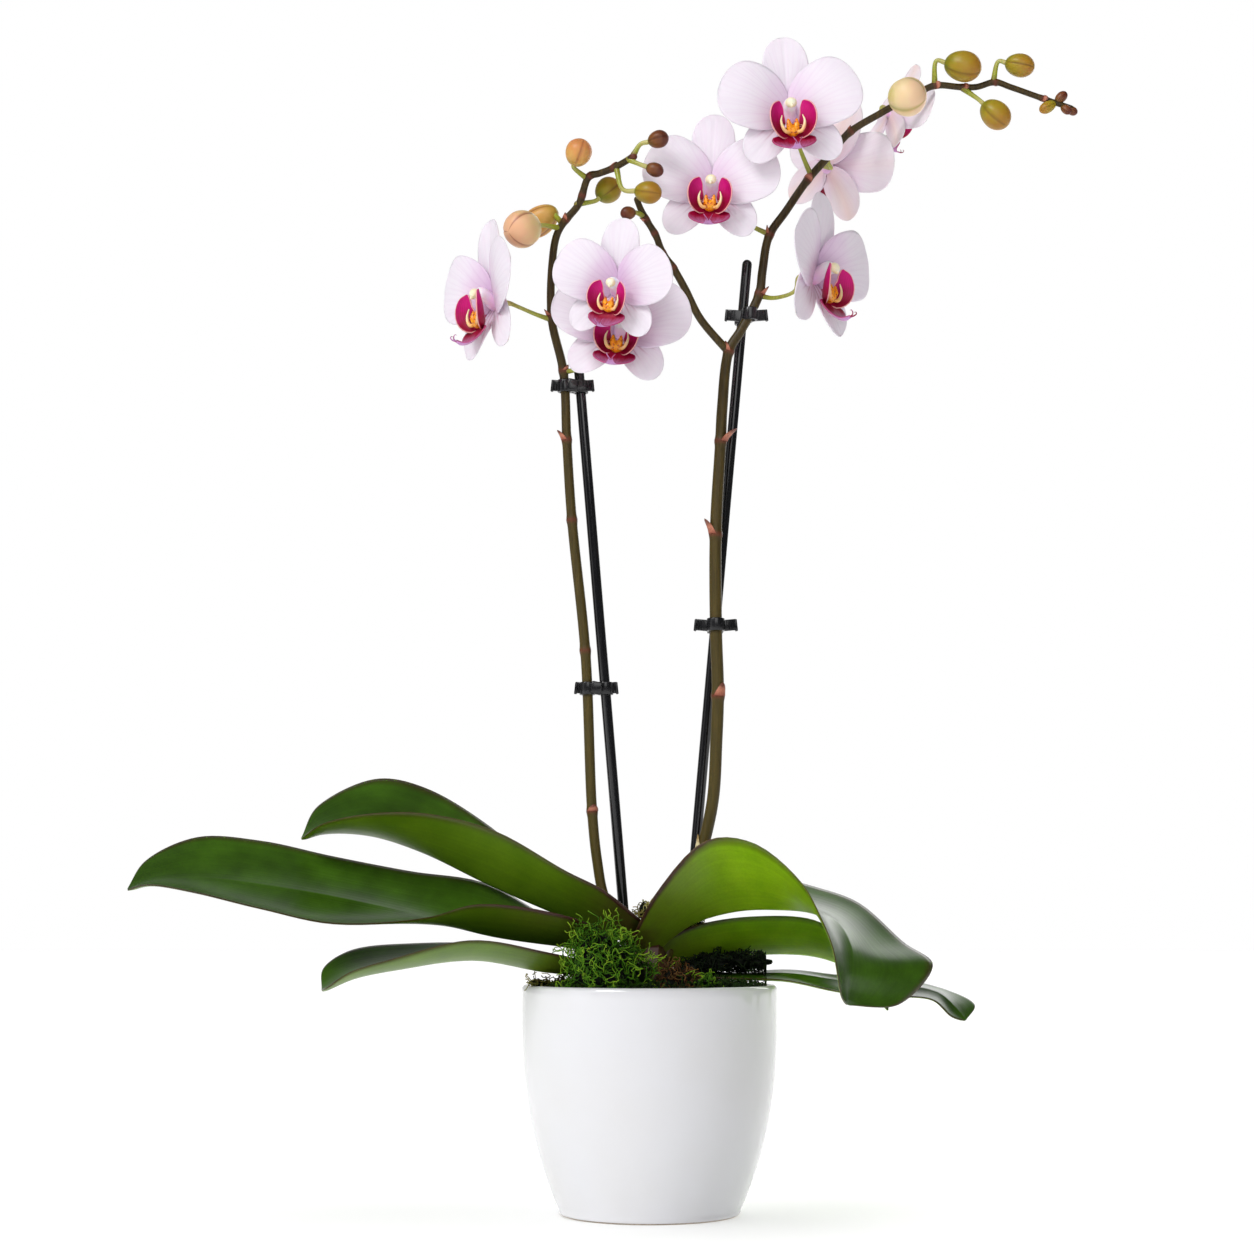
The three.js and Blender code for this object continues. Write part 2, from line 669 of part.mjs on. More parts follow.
// Each bud's stalk runs from its spike to the bud, whose middle is the last point.
const BUDS = {
  bud_left_1: { on: "left", size: [8, 7.5], path: [[-36, -19, 466], [-44, -23, 472], [-41, -27, 479]] },
  bud_left_2: { on: "left", size: [6, 5], path: [[-9, -36, 475], [-5, -37, 481], [5, -40, 483]] },
  bud_left_3: { on: "left", size: [5.2, 4], path: [[-12, -34, 473], [-6, -38, 469], [3, -40, 465]] },
  bud_left_4: { on: "left", size: [8.2, 6.3], path: [[-19, -28, 470], [-15, -34, 455], [-1, -42, 451]] },
  bud_left_5: { on: "left", size: [8, 7.4], path: [[-42, -15, 452], [-31, -12, 455], [-24, -9, 462]] },
  bud_left_6: { on: "left", size: [11, 10.6], path: [[-52, -10, 439], [-62, -16, 439], [-73, -26, 434]] },
  bud_left_7: { on: "left", size: [12.5, 8.5], path: [[-51, -10, 442], [-56, -3, 451], [-64, 2, 447]] },
  bud_right_1: { on: "right", size: [11, 11], path: [[148, 0, 518], [150, -14, 515], [150, -29, 512]] },
  bud_right_2: { on: "right", size: [10.8, 9], path: [[170, 0, 529], [171, -3, 543], [186, -5, 539]] },
  bud_right_3: { on: "right", size: [8.6, 6.8], path: [[205, 0, 531], [208, -2, 543], [220, -4, 540]] },
  bud_right_4: { on: "right", size: [9.8, 8], path: [[187, 0, 527], [196, -3, 519], [205, -4, 510]] },
  bud_branch: { on: "branch", size: [4.6, 3.8], path: [[-3, -19, 444], [-8, -22, 445], [-12, -24, 444]] },
};
const BUD_STALK_RADIUS = 1.7;

function bud({ size, path, on }) {
  const points = path.map(aboveRim);
  const centre = points.at(-1);
  const [long, wide] = size;
  const geometry = new THREE.SphereGeometry(1, 8, 6);
  geometry.scale(wide, long, wide);
  const axis = centre.clone().sub(points.at(-2)).normalize();
  geometry.applyQuaternion(new THREE.Quaternion().setFromUnitVectors(v(0, 1, 0), axis));
  geometry.translate(centre.x, centre.y, centre.z);
  const stalk = stem(new THREE.CatmullRomCurve3(points), () => BUD_STALK_RADIUS, 4, 5);
  return biggest(cut(join([stalk, solidOf(geometry)]), [spike(on, GAP)]));
}

// ---- Assembly ----

addPiece("cover_pot", coverPot(), "glaze");
addPiece("grow_pot", growPot(), "clearPlastic");

const leftStakeRoom = stake("left", GAP);
const rightStakeRoom = stake("right", GAP);
const crownRoom = crown(GAP);
const spikeRooms = Object.fromEntries(
  Object.keys(SPIKE_PATHS).map((name) => [name, spike(name, GAP)]),
);

addPiece("growing_medium", growingMedium([leftStakeRoom, rightStakeRoom, crownRoom]), "bark");
addPiece("crown_and_roots", biggest(cut(crown(), [leftStakeRoom, rightStakeRoom])), "crown");
addPiece("left_stake", stake("left"), "stake");
addPiece("right_stake", stake("right"), "stake");

addPiece("left_spike", cut(spike("left"), [crownRoom]), "spike");
addPiece("right_spike", cut(spike("right"), [crownRoom]), "spike");
addPiece("right_spike_branch", biggest(cut(spike("branch"), [spikeRooms.right])), "spike");

const plantRooms = [leftStakeRoom, rightStakeRoom, crownRoom, spikeRooms.left, spikeRooms.right];
const leafRooms = [];
for (const [name, stations] of Object.entries(LEAVES)) {
  addPiece(name, biggest(cut(leaf(stations), [...plantRooms, ...leafRooms])), "leaf");
  leafRooms.push(leaf(stations, GAP));
}

addPiece("moss_bed", mossBed([...plantRooms, ...leafRooms]), "moss");
const slabTop = mossTop + MOSS_LUMP + GAP;
const mossSlab = discAt(v(0, 0, slabTop / 2), 2 * POT_RIM_RADIUS, slabTop);
const mossRooms = [...plantRooms, ...leafRooms, mossSlab, potRimRoom()];
addPiece("moss_clump_front", mossClump([-22, -46, 8], [25, 15, 31], 1, mossRooms), "moss");
addPiece("moss_clump_right", mossClump([16, -48, 2], [13, 11, 12], 1, mossRooms), "dryMoss");
addPiece("moss_clump_back", mossClump([50, 14, 12], [25, 18, 6.5], 0.6, mossRooms), "moss");

for (const [name, place] of Object.entries(CLIPS)) {
  addPiece(name, clip(place, spikeRooms[place.side], stake(place.side, GAP)), "clip");
}

const flowerRooms = [];
for (const [name, flower] of Object.entries(FLOWERS)) {
  const group = flowerGroup(flower);
  orchid.add(group);
  const near = [...Object.values(spikeRooms), ...flowerRooms].map((room) => toLocal(room, group));
  const trimmed = (solid) => biggest(cut(solid, near));
  const stalk = (grow) => toLocal(flowerStalk(flower, group, grow), group);
  addPiece(name + "_petals", trimmed(petals()), "tepal", group);
  addPiece(name + "_sepals", trimmed(sepals().add(stalk(0)).subtract(petals(GAP))), "tepal", group);
  addPiece(name + "_lip", trimmed(lip().subtract(petals(GAP))), "lip", group);
  flowerRooms.push(toWorld(petals(GAP).add(sepals(GAP)).add(stalk(GAP)), group));
}

for (const [name, shape] of Object.entries(BUDS)) {
  addPiece(name, bud(shape), "bud");
}

export default orchid;
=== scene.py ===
# A potted moth orchid with two tied flower spikes, dressed round its CAD frame.
import math
import random

import bmesh
import bpy
import numpy as np
from bpy.props import FloatProperty, FloatVectorProperty, IntProperty, PointerProperty
from mathutils import Matrix, Vector


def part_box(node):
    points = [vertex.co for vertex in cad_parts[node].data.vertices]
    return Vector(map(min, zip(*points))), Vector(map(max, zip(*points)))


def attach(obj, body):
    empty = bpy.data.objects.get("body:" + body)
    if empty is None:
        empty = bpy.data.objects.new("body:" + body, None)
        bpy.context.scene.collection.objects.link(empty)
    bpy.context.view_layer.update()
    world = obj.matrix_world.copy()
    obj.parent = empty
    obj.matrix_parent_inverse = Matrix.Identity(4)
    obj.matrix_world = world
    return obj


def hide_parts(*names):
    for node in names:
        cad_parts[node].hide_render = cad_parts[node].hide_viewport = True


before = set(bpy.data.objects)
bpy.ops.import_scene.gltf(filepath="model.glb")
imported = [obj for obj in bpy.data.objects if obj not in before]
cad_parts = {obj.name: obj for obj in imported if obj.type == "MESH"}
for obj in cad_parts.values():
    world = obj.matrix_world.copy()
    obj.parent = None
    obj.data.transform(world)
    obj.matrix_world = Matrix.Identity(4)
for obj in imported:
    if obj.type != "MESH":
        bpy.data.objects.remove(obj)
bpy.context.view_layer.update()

bl_info = {
    "name": "Potted Moth Orchid",
    "version": (1, 0, 0),
    "blender": (4, 5, 0),
    "location": "View3D > Sidebar > Orchid",
    "description": "Builds a potted moth orchid with two tied flower spikes round its CAD frame",
    "category": "Add Mesh",
}

# Sizes below are millimetres. A plant part's point is [x, y, height above the pot's rim].
MM = 0.001
PATH_STEPS = 400  # short straight steps that stand for a long curve
POT_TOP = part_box("cover_pot")[1]
RIM_HEIGHT = POT_TOP.z
RIM_RADIUS = POT_TOP.x


def srgb(text):
    """A hex sRGB colour as linear red, green, blue and alpha."""
    parts = [int(text[i : i + 2], 16) / 255 for i in (1, 3, 5)]
    return (*[c / 12.92 if c <= 0.04045 else ((c + 0.055) / 1.055) ** 2.4 for c in parts], 1.0)


# ---- Settings in the sidebar ----


def length(name, description, millimetres):
    return FloatProperty(
        name=name, description=description, default=millimetres * MM, unit="LENGTH", precision=4
    )


def colour(name, description, text):
    return FloatVectorProperty(
        name=name, description=description, default=srgb(text), size=4, subtype="COLOR",
        min=0.0, max=1.0,
    )


def strength(name, description, value, unit="NONE"):
    return FloatProperty(name=name, description=description, default=value, unit=unit)


class OrchidPotSettings(bpy.types.PropertyGroup):
    """Sizes and colours of the pot and what fills it."""

    wall: length("Wall", "Thickness of the cover pot's wall", 5)
    foot_round: length("Foot rounding", "Radius between the pot's wall and its foot", 3.2)
    glaze: colour("Glaze", "Colour of the glazed outside", "#E5E5E9")
    bisque: colour("Bare clay", "Colour of the unglazed foot", "#B9AC9C")
    bark: colour("Bark", "Colour of the bark chips", "#5A3C22")


class OrchidStemSettings(bpy.types.PropertyGroup):
    """Sizes and colours of the spikes, stakes and clips."""

    stake_diameter: length("Stake diameter", "Thickness of the two plant stakes", 6)
    node_swell: strength("Node swelling", "How much thicker a spike is at a node", 0.16)
    low: colour("Stem foot", "Colour of a spike near the leaves", "#4A4019")
    high: colour("Stem tip", "Colour of a spike near its tip", "#33270F")
    ring: colour("Node ring", "Colour of the ring round a node", "#6A3226")
    stalk: colour("Flower stalk", "Colour of the stalks of buds and flowers", "#8E9420")
    stake: colour("Stake", "Colour of the stakes and clips", "#0D0D10")


class OrchidLeafSettings(bpy.types.PropertyGroup):
    """Sizes and colours of the leaves."""

    thickness: length("Thickness", "Thickness of a leaf at its keel", 2.2)
    upper: colour("Upper side", "Colour of the upper side", "#2A4708")
    under: colour("Underside", "Colour of the underside", "#4E6E06")
    bright: colour("Lit underside", "Colour of an underside that light shines through", "#759E0A")
    margin: colour("Margin", "Colour of the margin and of the leaf's foot", "#3A1E16")


class OrchidFlowerSettings(bpy.types.PropertyGroup):
    """Sizes and colours of the flowers and buds."""

    width: length("Flower width", "Width across the two petals of a full flower", 79)
    petal: colour("Petal", "Colour of the petals and sepals", "#E1DAE3")
    flush: colour("Flush", "Colour that the petals take on towards the middle", "#E2BCDF")
    vein: colour("Vein", "Colour of the petals' fine veins", "#CB9CCB")
    lip: colour("Lip", "Colour of the lip", "#930030")
    lip_edge: colour("Lip tips", "Colour of the tips of the lip's side lobes", "#C40872")
    callus: colour("Callus", "Colour of the callus in the flower's throat", "#F08A00")


class OrchidMossSettings(bpy.types.PropertyGroup):
    """Sizes and colours of the moss."""

    strand_radius: length("Strand radius", "Half the thickness of a moss strand", 0.29)
    strand_length: length("Strand length", "Length of a moss strand before it curls", 13)
    curl: length("Curl", "How far a moss strand strays from straight", 3.4)
    seed: IntProperty(name="Seed", description="Start of the moss's random numbers", default=7)
    green: colour("Green", "Colour of the fresh moss", "#1A3604")
    dry: colour("Dry", "Colour of the dry moss", "#33200E")


class OrchidStageSettings(bpy.types.PropertyGroup):
    """The floor and lights."""

    floor_size: length("Floor size", "Half the side of the square floor", 9000)
    floor: colour("Floor", "Colour of the floor", "#F7F7F7")
    sky: strength("Room light", "Strength of the light from the dim room", 0.1)
    backdrop: strength("Backdrop", "Strength of the light from the backdrop", 0.7)
    key: strength("Key light", "Strength of the main light, in watts to a square metre", 2.0)
    wash: strength("Floor light", "Strength of the floor light that the pot shades", 0.8)
    glow: strength("Floor glow", "Strength of the floor light that nothing shades", 2.5)
    fill: strength("Side light", "Power of the softbox at the left", 2.0, "POWER")
    flower: strength("Flower light", "Power of the softbox over the flowers", 4.2, "POWER")
    back: strength("Back light", "Power of the softbox behind", 9.0, "POWER")


# ---- Lines and curves ----


def above_rim(point):
    """A plant part's point in the scene's metres."""
    x, y, height = point
    return Vector((x * MM, y * MM, RIM_HEIGHT + height * MM))


def spline(points, t):
    """The point at t, 0 to 1, of a centripetal Catmull-Rom curve through points."""
    last = len(points) - 1
    place = min(max(t, 0), 1) * last
    i = min(int(place), last - 1)
    w = place - i
    here, ahead = points[i], points[i + 1]
    before = points[i - 1] if i > 0 else here * 2 - ahead
    after = points[i + 2] if i + 2 <= last else ahead * 2 - here
    d0, d1, d2 = [
        max((b - a).length, 1e-9) ** 0.5 for a, b in ((before, here), (here, ahead), (ahead, after))
    ]
    out = ((here - before) / d0 - (ahead - before) / (d0 + d1) + (ahead - here) / d1) * d1
    into = ((ahead - here) / d1 - (after - here) / (d1 + d2) + (after - ahead) / d2) * d1
    return (
        here * (2 * w**3 - 3 * w**2 + 1)
        + out * (w**3 - 2 * w**2 + w)
        + ahead * (3 * w**2 - 2 * w**3)
        + into * (w**3 - w**2)
    )


def through(stations, t):
    """The heights at t of a smooth line through stations (t, height)."""
    xs, ys = [np.array(column, float) for column in zip(*stations)]
    slopes = np.gradient(ys, xs)
    i = np.clip(np.searchsorted(xs, t, side="right") - 1, 0, len(xs) - 2)
    span = xs[i + 1] - xs[i]
    w = (t - xs[i]) / span
    return (
        ys[i] * (2 * w**3 - 3 * w**2 + 1)
        + slopes[i] * span * (w**3 - 2 * w**2 + w)
        + ys[i + 1] * (3 * w**2 - 2 * w**3)
        + slopes[i + 1] * span * (w**3 - w**2)
    )


def smooth_line(points, steps):
    """Points at even steps along the spline through points."""
    return [spline(points, i / steps) for i in range(steps + 1)]


def girths(stations, steps):
    """Radii in metres at even steps along a bar, from stations of (share, millimetres)."""
    return [float(through(stations, np.array(i / steps))) * MM for i in range(steps + 1)]


class Path:
    """A smooth curve through points, read at shares of its length."""

    def __init__(self, points):
        self.line = smooth_line(points, PATH_STEPS)
        self.reach = [0.0]
        for a, b in zip(self.line, self.line[1:]):
            self.reach.append(self.reach[-1] + (b - a).length)
        self.length = self.reach[-1]

    def at(self, share):
        """The point at a share of the curve's length."""
        goal = share * self.length
        i = int(np.clip(np.searchsorted(self.reach, goal) - 1, 0, len(self.line) - 2))
        part = (goal - self.reach[i]) / max(self.reach[i + 1] - self.reach[i], 1e-12)
        return self.line[i].lerp(self.line[i + 1], part)

    def ahead(self, share):
        """The direction of the curve at a share of its length."""
        step = 0.004
        return (self.at(min(share + step, 1)) - self.at(max(share - step, 0))).normalized()

    def share_near(self, x, height):
        """The share of the point that lies nearest [x, height above the rim] from the front."""
        goal = above_rim([x, 0, height])
        far = [(p.x - goal.x) ** 2 + (p.z - goal.z) ** 2 for p in self.line]
        return self.reach[far.index(min(far))] / self.length


# ---- Meshes ----


CAP_ANGLES = (25, 50, 70, 85)  # degrees round a bar's rounded end


class Skin:
    """Gathers rows of points into one mesh, with UVs, a material number for each face and a
    tint from 0 to 1 for each point."""

    def __init__(self):
        self.points, self.tints = [], []
        self.faces, self.uvs, self.marks = [], [], []

    def face(self, corners, uvs, mark):
        self.faces.append(corners)
        self.uvs.append(uvs)
        self.marks.append(mark)

    def rows(self, rows, uv, mark=0, closed=False, capped=False, tint=lambda i, j: 0.0):
        """Joins rows of points with quads; uv and tint take a row's and a column's number."""
        first, count = len(self.points), len(rows[0])
        for i, row in enumerate(rows):
            self.points.extend(row)
            self.tints.extend(tint(i, j) for j in range(count))
        for i in range(len(rows) - 1):
            for j in range(count if closed else count - 1):
                places = [(i, j), (i, j + 1), (i + 1, j + 1), (i + 1, j)]
                corners = [first + r * count + c % count for r, c in places]
                self.face(corners, [uv(r, c) for r, c in places], mark)
        if capped:
            for i in (0, len(rows) - 1):
                corners = [first + i * count + j for j in range(count)]
                self.face(corners, [uv(i, j) for j in range(count)], mark)

    def tube(self, points, radii, sides=10, mark=0, tint=lambda i: 0.0):
        """A round bar with rounded ends. Its UV is [share round it, share along it]."""
        ends = [(math.sin(a), math.cos(a)) for a in map(math.radians, CAP_ANGLES)]
        first_way = (points[1] - points[0]).normalized()
        last_way = (points[-1] - points[-2]).normalized()
        head = [(points[0] - first_way * radii[0] * out, radii[0] * keep) for out, keep in ends]
        tail = [(points[-1] + last_way * radii[-1] * out, radii[-1] * keep) for out, keep in ends]
        stations = head[::-1] + list(zip(points, radii)) + tail
        rows, normal = [], first_way.orthogonal().normalized()
        for i, (point, radius) in enumerate(stations):
            before, after = stations[max(i - 1, 0)][0], stations[min(i + 1, len(stations) - 1)][0]
            way = (after - before).normalized()
            normal = (normal - way * normal.dot(way)).normalized()
            across = way.cross(normal)
            turns = [2 * math.pi * j / sides for j in range(sides)]
            rows.append([point + (normal * math.cos(a) + across * math.sin(a)) * radius for a in turns])
        extra = len(ends)
        place = lambda i: min(max(i - extra, 0), len(points) - 1)
        self.rows(
            rows,
            lambda i, j: (j / sides, place(i) / (len(points) - 1)),
            mark,
            closed=True,
            capped=True,
            tint=lambda i, j: tint(place(i)),
        )

    def slab(self, middle, thick, plan, marks=(0, 1)):
        """A closed blade: skins either side of a grid of middle points, joined round its edge."""
        over, along = np.gradient(middle, axis=1), np.gradient(middle, axis=0)
        normal = np.cross(over, along)
        normal /= np.maximum(np.linalg.norm(normal, axis=2, keepdims=True), 1e-12)
        rows, count = middle.shape[:2]
        uv = lambda i, j: tuple(plan[i, j])
        starts = []
        for sign, mark in zip((1, -1), marks):
            starts.append(len(self.points))
            skin = middle + sign * normal * thick[..., None] / 2
            self.rows([[Vector(p) for p in row] for row in skin], uv, mark)
        edge = [(0, j) for j in range(count)] + [(i, count - 1) for i in range(1, rows)]
        edge += [(rows - 1, j) for j in range(count - 2, -1, -1)]
        edge += [(i, 0) for i in range(rows - 2, 0, -1)]
        for a, b in zip(edge, edge[1:] + edge[:1]):
            places = [(0, a), (0, b), (1, b), (1, a)]
            corners = [starts[side] + i * count + j for side, (i, j) in places]
            self.face(corners, [uv(i, j) for _, (i, j) in places], marks[0])

    def ball(self, centre, size, mark=0, rows=12, sides=18):
        """An egg round a centre; its poles lie along Z."""
        rings = []
        for i in range(rows + 1):
            fall = math.pi * min(max(i / rows, 0.01), 0.99)
            ring = []
            for j in range(sides):
                a = 2 * math.pi * j / sides
                p = (math.sin(fall) * math.cos(a), math.sin(fall) * math.sin(a), math.cos(fall))
                ring.append(centre + Vector([c * s for c, s in zip(p, size)]))
            rings.append(ring)
        self.rows(rings, lambda i, j: (j / sides, i / rows), mark, closed=True, capped=True)

    def mesh(self, name, place=Matrix.Identity(4), sharp=None):
        """The gathered mesh, closed and facing out, moved by place."""
        mesh = bpy.data.meshes.new(name)
        mesh.from_pydata([tuple(place @ Vector(p)) for p in self.points], [], self.faces)
        layer = mesh.uv_layers.new(name="surface")
        layer.uv.foreach_set("vector", np.array([c for face in self.uvs for c in face], "f").ravel())
        mesh.polygons.foreach_set("material_index", self.marks)
        mesh.attributes.new("tint", "FLOAT", "POINT").data.foreach_set("value", self.tints)
        tidy = bmesh.new()
        tidy.from_mesh(mesh)
        bmesh.ops.remove_doubles(tidy, verts=tidy.verts, dist=0.002 * MM)
        bmesh.ops.recalc_face_normals(tidy, faces=tidy.faces)
        tidy.to_mesh(mesh)
        tidy.free()
        mesh.shade_smooth()
        if sharp:
            mesh.set_sharp_from_angle(angle=math.radians(sharp))
        return mesh


def add_piece(name, mesh, materials, slot, *nodes):
    """Puts a finished mesh in the scene in place of the CAD nodes that it stands for."""
    piece = bpy.data.objects.new(name, mesh)
    bpy.context.scene.collection.objects.link(piece)
    for material in materials:
        mesh.materials.append(material)
    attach(piece, "root")
    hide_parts(*nodes)
    return piece


def finish_node(name, finish):
    """Gives a CAD node that is shown as it is its real finish."""
    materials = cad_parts[name].data.materials
    materials.clear()
    materials.append(finish)


# ---- Materials ----


def add(tree, kind, inputs=None, stops=None, **settings):
    """Adds a node with its settings, its inputs' values or links, and a ramp's colour stops."""
    node = tree.nodes.new(kind)
    for name, value in settings.items():
        setattr(node, name, value)
    for key, value in (inputs or {}).items():
        if isinstance(value, bpy.types.Node):
            value = next(socket for socket in value.outputs if socket.enabled)
        if isinstance(value, bpy.types.NodeSocket):
            tree.links.new(value, node.inputs[key])
        else:
            node.inputs[key].default_value = value
    if stops:
        ramp = node.color_ramp.elements
        while len(ramp) < len(stops):
            ramp.new(1.0)
        for element, (position, stop) in zip(ramp, stops):
            element.position = position
            element.color = srgb(stop) if isinstance(stop, str) else tuple(stop)
    return node


def new_material(name):
    """A bare material, its tree, and the place in metres that its patterns are drawn by."""
    material = bpy.data.materials.new(name)
    material.use_nodes = True
    tree = material.node_tree
    tree.nodes.clear()
    return material, tree, add(tree, "ShaderNodeTexCoord").outputs["Object"]


def surface_plan(tree):
    """The two shares that a piece's UV gives to each spot of its surface."""
    spot = add(tree, "ShaderNodeUVMap", uv_map="surface")
    return add(tree, "ShaderNodeSeparateXYZ", {0: spot}).outputs


def set_surface(tree, inputs, bump=None, strength=0.2, depth=0.3):
    """Ends a tree in a Principled surface; bump is a height to emboss, depth in millimetres."""
    if bump is not None:
        inputs = dict(inputs)
        inputs["Normal"] = add(
            tree, "ShaderNodeBump", {"Height": bump, "Strength": strength, "Distance": depth * MM}
        )
    surface = add(tree, "ShaderNodeBsdfPrincipled", inputs)
    add(tree, "ShaderNodeOutputMaterial", {"Surface": surface})


def per_metre(millimetres):
    """The noise scale whose features are this many millimetres across."""
    return 1 / (millimetres * MM)


def glazed_ceramic(colour):
    # White glazed earthenware: dipped glaze gives a wet, faintly wavy mirror over a milky body.
    material, tree, place = new_material("glazed_earthenware")
    wave = add(tree, "ShaderNodeTexNoise", {"Vector": place, "Scale": per_metre(38), "Detail": 1.0})
    pool = add(tree, "ShaderNodeTexNoise", {"Vector": place, "Scale": per_metre(55), "Detail": 2.0})
    cream = [c * f for c, f in zip(colour, (0.985, 0.98, 0.965))] + [1.0]
    tone = add(tree, "ShaderNodeValToRGB", {"Fac": pool}, stops=[(0.35, cream), (0.65, colour)])
    set_surface(
        tree,
        {"Base Color": tone, "Roughness": 0.09, "IOR": 1.5, "Coat Weight": 0.6, "Coat Roughness": 0.03},
        bump=wave, strength=0.06, depth=0.4,
    )
    return material


def bare_clay(colour):
    # Unglazed fired clay at the foot: dry, matt and finely pitted.
    material, tree, place = new_material("bare_fired_clay")
    grit = add(tree, "ShaderNodeTexNoise", {"Vector": place, "Scale": per_metre(1.2), "Detail": 4.0})
    dark = [c * 0.6 for c in colour[:3]] + [1.0]
    tone = add(tree, "ShaderNodeValToRGB", {"Fac": grit}, stops=[(0.3, dark), (0.7, colour)])
    set_surface(tree, {"Base Color": tone, "Roughness": 0.9}, bump=grit, strength=0.4, depth=0.2)
    return material


def clear_plastic():
    # Thin blow-moulded clear plastic of a grow pot: greyish, glossy, with a slight haze.
    material, tree, place = new_material("clear_moulded_plastic")
    haze = add(tree, "ShaderNodeTexNoise", {"Vector": place, "Scale": per_metre(9), "Detail": 2.0})
    tone = add(tree, "ShaderNodeValToRGB", {"Fac": haze}, stops=[(0.3, "#C4CAC2"), (0.7, "#E2E6E0")])
    set_surface(
        tree, {"Base Color": tone, "Roughness": 0.2, "IOR": 1.46, "Transmission Weight": 0.6},
        bump=haze, strength=0.1,
    )
    return material


def bark_chips(colour):
    # Chopped pine bark: dull brown flakes with pale broken faces; patches darkened almost to black brown are
    # painted shade for the gaps between the chips.
    material, tree, place = new_material("pine_bark_chips")
    chips = add(tree, "ShaderNodeTexVoronoi", {"Vector": place, "Scale": per_metre(11)})
    flake = add(tree, "ShaderNodeTexNoise", {"Vector": place, "Scale": per_metre(3), "Detail": 5.0})
    chip_tone = add(
        tree, "ShaderNodeValToRGB", {"Fac": chips.outputs["Color"]},
        stops=[(0.1, "#2E1C10"), (0.55, colour), (0.95, "#8A6238")],
    )
    # the flake noise pulls the colour almost to black brown in patches: painted shade for the gaps between
    # the chips
    tone = add(
        tree, "ShaderNodeMix", {0: flake, 6: srgb("#24160C"), 7: chip_tone}, data_type="RGBA",
        clamp_factor=True,
    )
    height = add(tree, "ShaderNodeMath", {0: chips.outputs["Distance"], 1: flake}, operation="ADD")
    set_surface(tree, {"Base Color": tone, "Roughness": 0.95}, bump=height, strength=0.8, depth=2)
    return material


def moss_fibre(name, colours):
    # Preserved moss: matt dyed strands, each a little paler or darker than the next at random, and darker
    # towards the root as painted shade.
    material, tree, place = new_material(name)
    tint = add(tree, "ShaderNodeAttribute", attribute_name="tint").outputs["Fac"]
    patch = add(tree, "ShaderNodeTexNoise", {"Vector": place, "Scale": per_metre(14), "Detail": 3.0})
    mixed = add(tree, "ShaderNodeMath", {0: patch, 1: 0.5, 2: tint}, operation="MULTIPLY_ADD")
    spread = add(tree, "ShaderNodeMath", {0: mixed, 1: 0.7}, operation="MULTIPLY")
    tone = add(tree, "ShaderNodeValToRGB", {"Fac": spread}, stops=colours)
    set_surface(
        tree,
        {
            "Base Color": tone, "Roughness": 0.7, "Specular IOR Level": 0.12,
            "Subsurface Weight": 0.1, "Subsurface Scale": 1 * MM,
        },
    )
    return material


def leaf_skin(name, main, light, margin, roughness, vein_depth, flush, through_light):
    # A moth orchid's leaf: waxy and leathery, with sunk parallel veins, a paler groove over the
    # keel and a thin purplish margin.
    material, tree, place = new_material(name)
    plan = surface_plan(tree)
    across, along = plan[0], plan[1]
    drawn_out = add(tree, "ShaderNodeMath", {0: along, 1: 0.03}, operation="MULTIPLY")
    lined = add(tree, "ShaderNodeCombineXYZ", {0: across, 1: drawn_out})
    veins = add(tree, "ShaderNodeTexNoise", {"Vector": lined, "Scale": 46.0, "Detail": 2.0})
    mottle = add(tree, "ShaderNodeTexNoise", {"Vector": place, "Scale": per_metre(22), "Detail": 4.0})
    fleck = add(tree, "ShaderNodeTexNoise", {"Vector": place, "Scale": per_metre(1.1), "Detail": 2.0})
    body = add(tree, "ShaderNodeValToRGB", {"Fac": mottle}, stops=[(0.3, main), (0.72, light)])
    lines = add(
        tree, "ShaderNodeMapRange",
        {"Value": veins, "From Min": 0.35, "From Max": 0.65, "To Min": 0.93, "To Max": 1.05},
    )
    flecks = add(
        tree, "ShaderNodeMapRange",
        {"Value": fleck, "From Min": 0.3, "From Max": 0.7, "To Min": 0.93, "To Max": 1.05},
    )
    shade = add(tree, "ShaderNodeMath", {0: lines, 1: flecks}, operation="MULTIPLY")
    toned = add(
        tree, "ShaderNodeVectorMath", {0: body.outputs["Color"], 3: shade}, operation="SCALE"
    )
    # off is 0 at the keel and 1 at either edge
    centred = add(tree, "ShaderNodeMath", {0: across, 1: 0.5}, operation="SUBTRACT")
    half = add(tree, "ShaderNodeMath", {0: centred}, operation="ABSOLUTE")
    off = add(tree, "ShaderNodeMath", {0: half, 1: 2.0}, operation="MULTIPLY")
    keel = add(
        tree, "ShaderNodeMapRange",
        {"Value": off, "From Min": 0.0, "From Max": 0.06, "To Min": 0.45, "To Max": 0.0},
    )
    ribbed = add(tree, "ShaderNodeMix", {0: keel, 6: toned, 7: light}, data_type="RGBA")
    rim = add(
        tree, "ShaderNodeMapRange",
        {"Value": off, "From Min": 0.9, "From Max": 1.0, "To Min": 0.0, "To Max": 0.9},
    )
    foot = add(
        tree, "ShaderNodeMapRange",
        {"Value": along, "From Min": 0.3, "From Max": 0.0, "To Min": 0.0, "To Max": flush},
    )
    ragged = add(
        tree, "ShaderNodeMath", {0: foot, 1: mottle, 2: rim}, operation="MULTIPLY_ADD", use_clamp=True
    )
    tone = add(tree, "ShaderNodeMix", {0: ragged, 6: ribbed, 7: margin}, data_type="RGBA")
    set_surface(
        tree,
        {
            "Base Color": tone, "Roughness": roughness, "IOR": 1.45, "Specular IOR Level": 0.3,
            "Coat Weight": 0.12, "Coat Roughness": 0.25, "Subsurface Weight": through_light,
            "Subsurface Scale": 3 * MM, "Subsurface Radius": (0.6, 1.0, 0.1),
        },
        bump=veins, strength=vein_depth, depth=0.5,
    )
    return material


